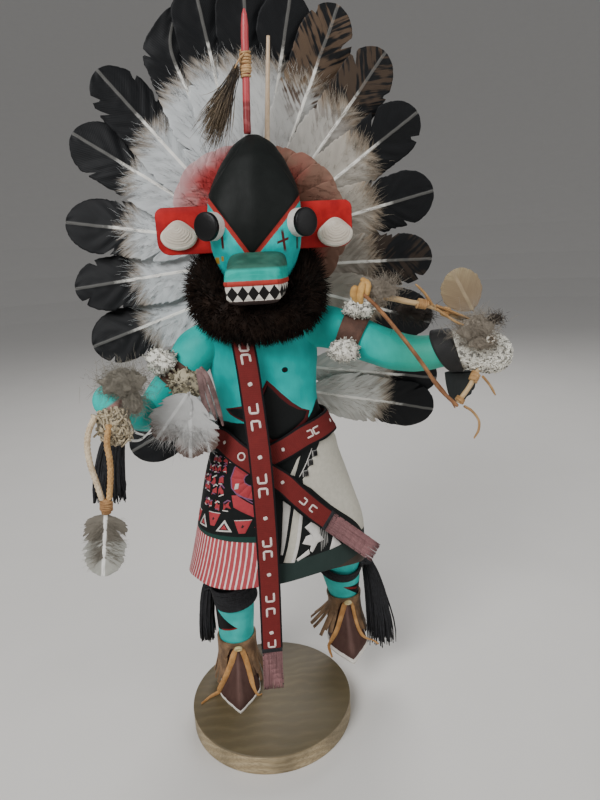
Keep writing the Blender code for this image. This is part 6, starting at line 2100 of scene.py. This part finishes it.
def makeRightHand():
    # Crocheted loops and strands at the fist; under it a tie, a hanging feather and black yarn.
    lace = laceLook("cord_lace", (0.56, 0.49, 0.35), (0.3, 0.23, 0.14))
    draw, count = seeded(91), hand["loops"]
    way = unit(draw.normal(size=(count, 3)))
    spots = array(hand["lace"]) + way * array(hand["laceHalf"]) * draw.uniform(0.5, 1.0, (count, 1))
    bunch = threadLoops(Shape(), spots, way, 2.2, 0.6, 92, 0.6)
    t, count = steps(14), 18
    start = array([-66.5, -41.5, 221.5]) + draw.normal(size=(count, 1, 3)) * (4.0, 0.8, 1.5)
    end = array([-68.5, -39, 206]) + draw.normal(size=(count, 1, 3)) * (3.6, 1.0, 2.5)
    sag = sin(t * math.pi) * draw.normal(size=(count, 1, 3)) * (2.0, 0.8, 0.5)
    bunch.tubes(start * (1 - t) + end * t + sag, 0.55, 6)
    bunch.make("hand_crochet", lace, "lace", sharp=0)
    white = strips(Shape(), hand["laceEnds"], 20, [0, 1], [1.8, 0.6], 0.5, (0, 0, 1.0))
    white.make("hand_white_lace", laceLook("lace_end", (0.66, 0.66, 0.64), (0.42, 0.42, 0.4)), "lace",
               sharp=0)

    tie = Shape()
    windings(tie, array(hand["tie"]), array([0.12, 0, 0.993]), array([0.993, 0, -0.12]), array([0, 1.0, 0]),
             2.2, 4.6, 4, 1.1, 3)
    tie.tubes(hand["tieCore"], (2.4, 2.9, 2.2), 14)
    tan = leatherLook("tie_leather", (0.3, 0.15, 0.055), (0.52, 0.3, 0.13))
    tie.make("hand_tie_leather", tan, "tan_leather", ["hand_cord_tie"], sharp=0)
    pendant = plume(Shape(), *hand["feather"], 11.6, (0, -1, 0), 0.03, 0.2, 21, 70, 0.45, ragged=(1.8, 0.8),
                    splits=2, cup=1.0, tipLong=1.3)
    pendant.make("pendant_vane", pendantLook(), "feather", ["hand_feather"], sharp=0)
    fray, draw, t, count, lean = Shape(), seeded(55), steps(6), 260, 0.173
    for sign in (-1, 1):
        height = draw.uniform(144, 165, (count, 1, 1))
        start = [-77.0 - lean * 169, -42.8, 0] + height * [lean, 0, 1.0]
        way = unit(concatenate([sign * draw.uniform(0.6, 1.2, (count, 1, 1)),
                                draw.normal(size=(count, 1, 1)) * 0.15,
                                draw.uniform(-0.9, 0.1, (count, 1, 1))], -1))
        line = start + way * t * draw.uniform(6, 12.5, (count, 1, 1))
        line += sin(t * 5) * draw.normal(size=(count, 1, 3)) * 0.4 * t
        fray.tubes(line, 0.09 * interp(t[0, :, 0], [0, 1], [1, 0.35]), 3)
    fray.make("pendant_down", fluffLook("brown_down", (0.1, 0.085, 0.065), (0.27, 0.24, 0.19)), "down",
              sharp=0)
    yarn = strands(Shape(), *hand["yarn"], 270, 0.62, 47, 1.4, 8, 5)
    yarn.make("hand_yarn_strands", legLooks["black"], "black_yarn", ["hand_yarn_right"], sharp=0)


bow = {
    "stave": [(56, -37, 271.5), (70, -37, 267.9), (90, -37.5, 263), (104, -36.5, 257.5), (114, -34, 251),
              (121, -31.5, 244), (123.5, -30, 238), (122.8, -31, 232), (118.5, -34, 226), (113, -36.5, 218),
              (107.6, -37.5, 211)],
    "radius": 1.45, "bindings": [(0.3, 5, 5.0), (0.42, 3, 3.0), (0.865, 5, 4.6), (0.985, 3, 2.4)],
    "ends": [([(93, -38.5, 263), (89, -39, 269), (84.7, -38.5, 273.5)], 4.0),
             ([(95, -39, 262.5), (103, -39.5, 259), (112, -38.5, 255)], 3.4),
             ([(95, -39.2, 261.0), (104, -39.8, 254.5), (110, -39.5, 251.5)], 2.4),
             ([(121, -36.5, 224), (125, -36.5, 219), (128.2, -36, 213.5)], 2.8),
             ([(111, -37.5, 209), (115.3, -37.5, 206), (119.2, -37.2, 200.5), (119.3, -37, 195),
               (117, -36.8, 190.5)], 1.7)],
    "knot": [[(55.0, -39.0, 267.0), (53.4, -41.0, 270), (53.8, -41.6, 273.4), (56.2, -39.6, 273)],
             [(57.2, -39.0, 266.2), (56.2, -42.0, 270), (57.4, -42.4, 274.8), (59.0, -39.6, 275)],
             [(59.6, -39.0, 269.0), (59.4, -41.6, 271), (60.2, -41.6, 275.2), (57.8, -39.4, 277.6)]],
    "strings": [  # points, stations, width, thickness, turns
        ([(58, -41.2, 270.5), (65, -41.3, 263.5), (75.8, -41.4, 250), (87.1, -41.2, 234.5), (96, -41.2, 221),
          (105.5, -41.4, 211)], 220, 4.8, 2.0, 2.7),
        ([(92, -40.0, 228), (96.5, -40.3, 222.5), (100.5, -40.6, 217), (104.8, -40.8, 209.6)], 60, 1.5, 0.7,
         1.5)],
    "feather": ((117.0, -31.2, 257.5), (105.6, -30.6, 278.6)), "bead": (121.4, -43.8, 244.6),
    "beadSize": (1.5, 0.8),
    "cloth": (114, -22.0, 224.0),
}


def makeBow():
    # A peeled stick bent into a bow, bound with leather and strung with a lace that twists as it goes.
    wood, count = Look("peeled_wood"), 120
    colour = wood.mix(wood.noise(1.0, 4.0, stretch=(4.0, 1.0, 1.0)), (0.36, 0.23, 0.105), (0.6, 0.44, 0.24))
    wood.finish(colour, 0.6, woodGrain(wood, 0), 0.12)
    line = evenLine(bow["stave"], count)
    line += 0.25 * stack([lumps(line, 14.0, seed) for seed in (1, 2, 3)], -1)
    girth = bow["radius"] * (1 + 0.08 * lumps(line, 6.0, 9))
    girth *= interp(linspace(0, 1, count), [0, 0.1, 0.9, 1], [0.9, 1, 0.9, 0.75])
    Shape().tubes(line, girth, 12).make("bow_wood", wood, "bow_wood", ["bow_stave"], sharp=0)
    ties, axes = Shape(), carried(line[None])
    for share, rounds, wide in bow["bindings"]:
        at = int(share * (count - 1))
        windings(ties, line[at], *(axis[0, at] for axis in axes), 1.5, wide, rounds, 1.1, at)
    strips(ties, bow["ends"], 20, [0, 0.8, 1], [1, 0.9, 0.55], 1.3, (0, 1.0, 0))
    tan = leatherLook("bow_leather", (0.34, 0.18, 0.065), (0.58, 0.36, 0.16))
    ties.make("bow_bindings", tan, "tan_leather", sharp=50)
    knot = Shape()
    for fold in bow["knot"]:
        fold = evenLine(fold, 24)
        girth = 1.8 * sin(linspace(0.5, math.pi - 0.5, 24)) ** 0.5 * (1 + 0.1 * lumps(fold, 3.0, 7))
        knot.tubes(fold, girth, 14, flat=0.8)
    gold = leatherLook("bow_knot_leather", (0.4, 0.205, 0.05), (0.7, 0.42, 0.135))
    knot.make("bow_knot_leather", gold, "tan_leather", ["bow_knot"], sharp=0)
    string = Shape()
    for points, count, width, thick, turns in bow["strings"]:
        string.tubes(evenLine(points, count), width / 2, 8, thick / width, (0, 1.0, 0), turns * turn)
    lace = leatherLook("string_lace", (0.17, 0.06, 0.022), (0.4, 0.19, 0.075))
    string.make("bow_string_lace", lace, "tan_leather", ["bow_string"], sharp=0)
    look = featherLook("tan_feather", 24.0, 11.0, (0.25, 0.185, 0.115), tip=(0.3, 0.24, 0.145),
                       tipLength=2.5, brown=(0.26, 0.2, 0.12), quillTone=(0.3, 0.235, 0.15), seed=13.0,
                       grey=0.2)
    vane = plume(Shape(), *bow["feather"], 11.0, (0, -1, 0), 0.03, 0.5, 14, 60, 0.4, ragged=(0.5, 0.4),
                 splits=0, cup=1.2)
    vane.make("bow_plume", look, "feather", ["bow_feather"], sharp=0)
    bead = Look("glass_bead")
    bead.finish(bead.mix(bead.ramp(bead.noise(1.6, 2.0), 0.45, 0.55), (0.1, 0.075, 0.05), (0.52, 0.48, 0.4)),
                0.25)
    a, (radius, thick) = linspace(0, 6.1, 30), bow["beadSize"]
    ring = array(bow["bead"]) + radius * xyz(cos(a), 0.3 * sin(a), sin(a))
    Shape().tubes(ring, thick, 12).make("bow_bead", bead, "tan_leather", sharp=0)


def makeCuffCloth():
    # Black cloth folded under the cuff: an oval sheaf with pleats, cut to a slanting point.
    t, a = linspace(0, 1, 30)[:, None], angles(90)[None, :]
    wide, deep = 8.4 - 2.6 * t ** 2, 3.4 - 1.4 * t
    pleat = 1 + 0.1 * sin(a * 7 + 1) * t + 0.05 * sin(a * 13) * t
    low = 16.5 * t * (1 - 0.35 * clip(cos(a), 0, 1) * t)
    x, y, z = bow["cloth"]
    cloth = xyz(x + 1.5 * t + wide * cos(a) * pleat, y + deep * sin(a) * pleat, z - low)
    look = Look("black_cloth")
    weave = look.wave((look.x + look.z) / 0.7) * 0.5 + look.wave((look.x - look.z) / 0.7) * 0.5
    look.finish(look.mix(look.noise(3.0, 3.0), (0.004, 0.006, 0.006), (0.014, 0.018, 0.018)), 0.85, weave,
                0.08)
    Shape().grid(cloth).make("cuff_cloth", look, "black_yarn", ["cuff_cloth_left"], sharp=0)


crown = {
    "base": (8.4, -1.0, 350.2), "top": (10.9, -1.0, 406.0), "radius": 1.75,
    "bindings": [(0.57, 12.0, 8, 5), (0.61, 4.0, 3, 8), (0.53, 2.4, 2, 9)],  # share, length, rounds, seed
    "looseEnd": [(9.5, -3.4, 386), (6.5, -4.2, 383), (4.4, -4.2, 379.5)],
    "tuft": ((5.0, -2.8, 379.0), (-9.5, -4.8, 352.0)), "barbs": 420,
    "straw": [(18.6, 12.0, 344), (20.6, 20, 366), (22.2, 24.5, 385), (23.6, 26.5, 402)],
    "pad": (9, 32, 258), "padHalf": (22, 60), "stitches": 56,
}


def crownStickLook():
    # Red paint over a foot with dark, wandering rings.
    rod = Look("crown_stick")
    foot = rod.ramp(rod.z, 366.0, 364.0)
    red = rod.mix(rod.noise(2.0, 3.0, stretch=(1, 1, 4)), (0.36, 0.028, 0.036), (0.52, 0.07, 0.08))
    rings = rod.ramp(rod.wave(rod.z / 6.4 + rod.noise(5.0, 2.0) * 1.4), 0.5, 0.9)
    colour = rod.mix(foot, red, rod.mix(rings * 0.5, (0.2, 0.014, 0.016), (0.34, 0.075, 0.075)))
    return rod.finish(colour, 0.42, woodGrain(rod), 0.12)


def makeCrown():
    # The red stick on the crown with its leather binding, a dark tuft and a straw quill.
    base, top = array(crown["base"]), array(crown["top"])
    share = np.r_[linspace(0, 0.86, 40), linspace(0.87, 1, 16)]
    line = base + (top - base) * share[:, None]
    line += 0.12 * stack([lumps(line, 9.0, seed) for seed in (4, 5, 6)], -1)
    radii = interp(share, [0, 0.02, 0.87, 0.96, 1], [1.7, 1.9, 1.85, 1.3, 0.5])
    Shape().tubes(line, radii, 18).make("crown_stick", crownStickLook(), "red_paint", ["crown_rod"], sharp=0)
    ahead = unit(top - base)
    side = unit(np.cross(ahead, [0, 1.0, 0]))
    tie = Shape()
    for share, length, rounds, seed in crown["bindings"]:
        windings(tie, base + (top - base) * share, ahead, side, np.cross(ahead, side),
                 crown["radius"] + 0.3 * (seed > 5), length, rounds, 1.0, seed)
    strip(tie, evenLine(crown["looseEnd"], 14), linspace(1.8, 1.0, 14), 0.8, (0, 1.0, 0))
    leather = leatherLook("binding_leather", (0.33, 0.18, 0.075), (0.6, 0.38, 0.18))
    tie.make("rod_binding", leather, "tan_leather", ["rod_tie"], sharp=0)
    draw, count, t = seeded(33), crown["barbs"], steps(7)
    start = array(crown["tuft"][0]) + draw.normal(size=(count, 1, 3)) * (0.7, 0.5, 1.2)
    end = array(crown["tuft"][1]) + draw.normal(size=(count, 1, 3)) * (3.6, 1.0, 5.0)
    wave = sin(t * 4 + draw.uniform(0, 6, (count, 1, 1))) * draw.normal(size=(count, 1, 3)) * 0.8 * t
    tuft = Shape().tubes(start * (1 - t) + end * t + wave, 0.16
                         * interp(t[0, :, 0], [0, 0.7, 1], [1, 0.9, 0.3]), 3)
    look = Look("tuft_barbs")
    u, v = look.along()
    pale = look.math("FRACT", u * 311.7) * look.ramp(v, 0.2, 0.9)
    look.finish(look.mix(pale, (0.022, 0.014, 0.008), (0.34, 0.25, 0.155)), 0.75, look.noise(0.5, 2.0), 0.1)
    tuft.make("rod_tuft", look, "feather", ["rod_feather"], sharp=0)
    straw = Look("straw_quill")
    straw.finish(straw.mix(straw.noise(2.0, 3.0), (0.44, 0.3, 0.18), (0.62, 0.48, 0.33)), 0.45,
                 woodGrain(straw), 0.08)
    Shape().tubes(evenLine(crown["straw"], 40), linspace(1.5, 1.0, 40), 10).make("straw_quill", straw,
                                                                                 "feather", sharp=0)


def makePad():
    # The pad behind the shoulders that the bonnet's feathers are sewn to, with stitches round its edge.
    (x, y, z), (halfX, halfZ), angle = crown["pad"], crown["padHalf"], angles(96)
    flat = board(stack([halfX * cos(angle), halfZ * sin(angle)], -1), 4.2, 1.3, (0, 0))
    pad = Shape().grid(xyz(x + flat[..., 0], y - flat[..., 2], z + flat[..., 1]))
    stitch = angles(crown["stitches"])
    ends = [xyz(x + (halfX - 2.6) * cos(s), y + 2.3, z + (halfZ - 2.8) * sin(s))
            for s in (stitch, stitch + 0.06)]
    middle = (ends[0] + ends[1]) / 2 + [0, 0.35, 0]
    pad.tubes(stack([ends[0], middle, ends[1]], 1), 0.35, 6)
    hide = leatherLook("pad_hide", (0.045, 0.026, 0.016), (0.13, 0.08, 0.05), 1.6)
    pad.make("bonnet_backing", hide, "brown_leather", ["bonnet_pad"])


for side, sign in (("right", 1), ("left", 2)):
    makeArm(side, sign)
makeBands()
makeArmbandFeathers()
makeRightHand()
makeBow()
makeCuffCloth()
makeCrown()
makePad()
makeFluffs()
print("arms, hands, bow and crown are made")
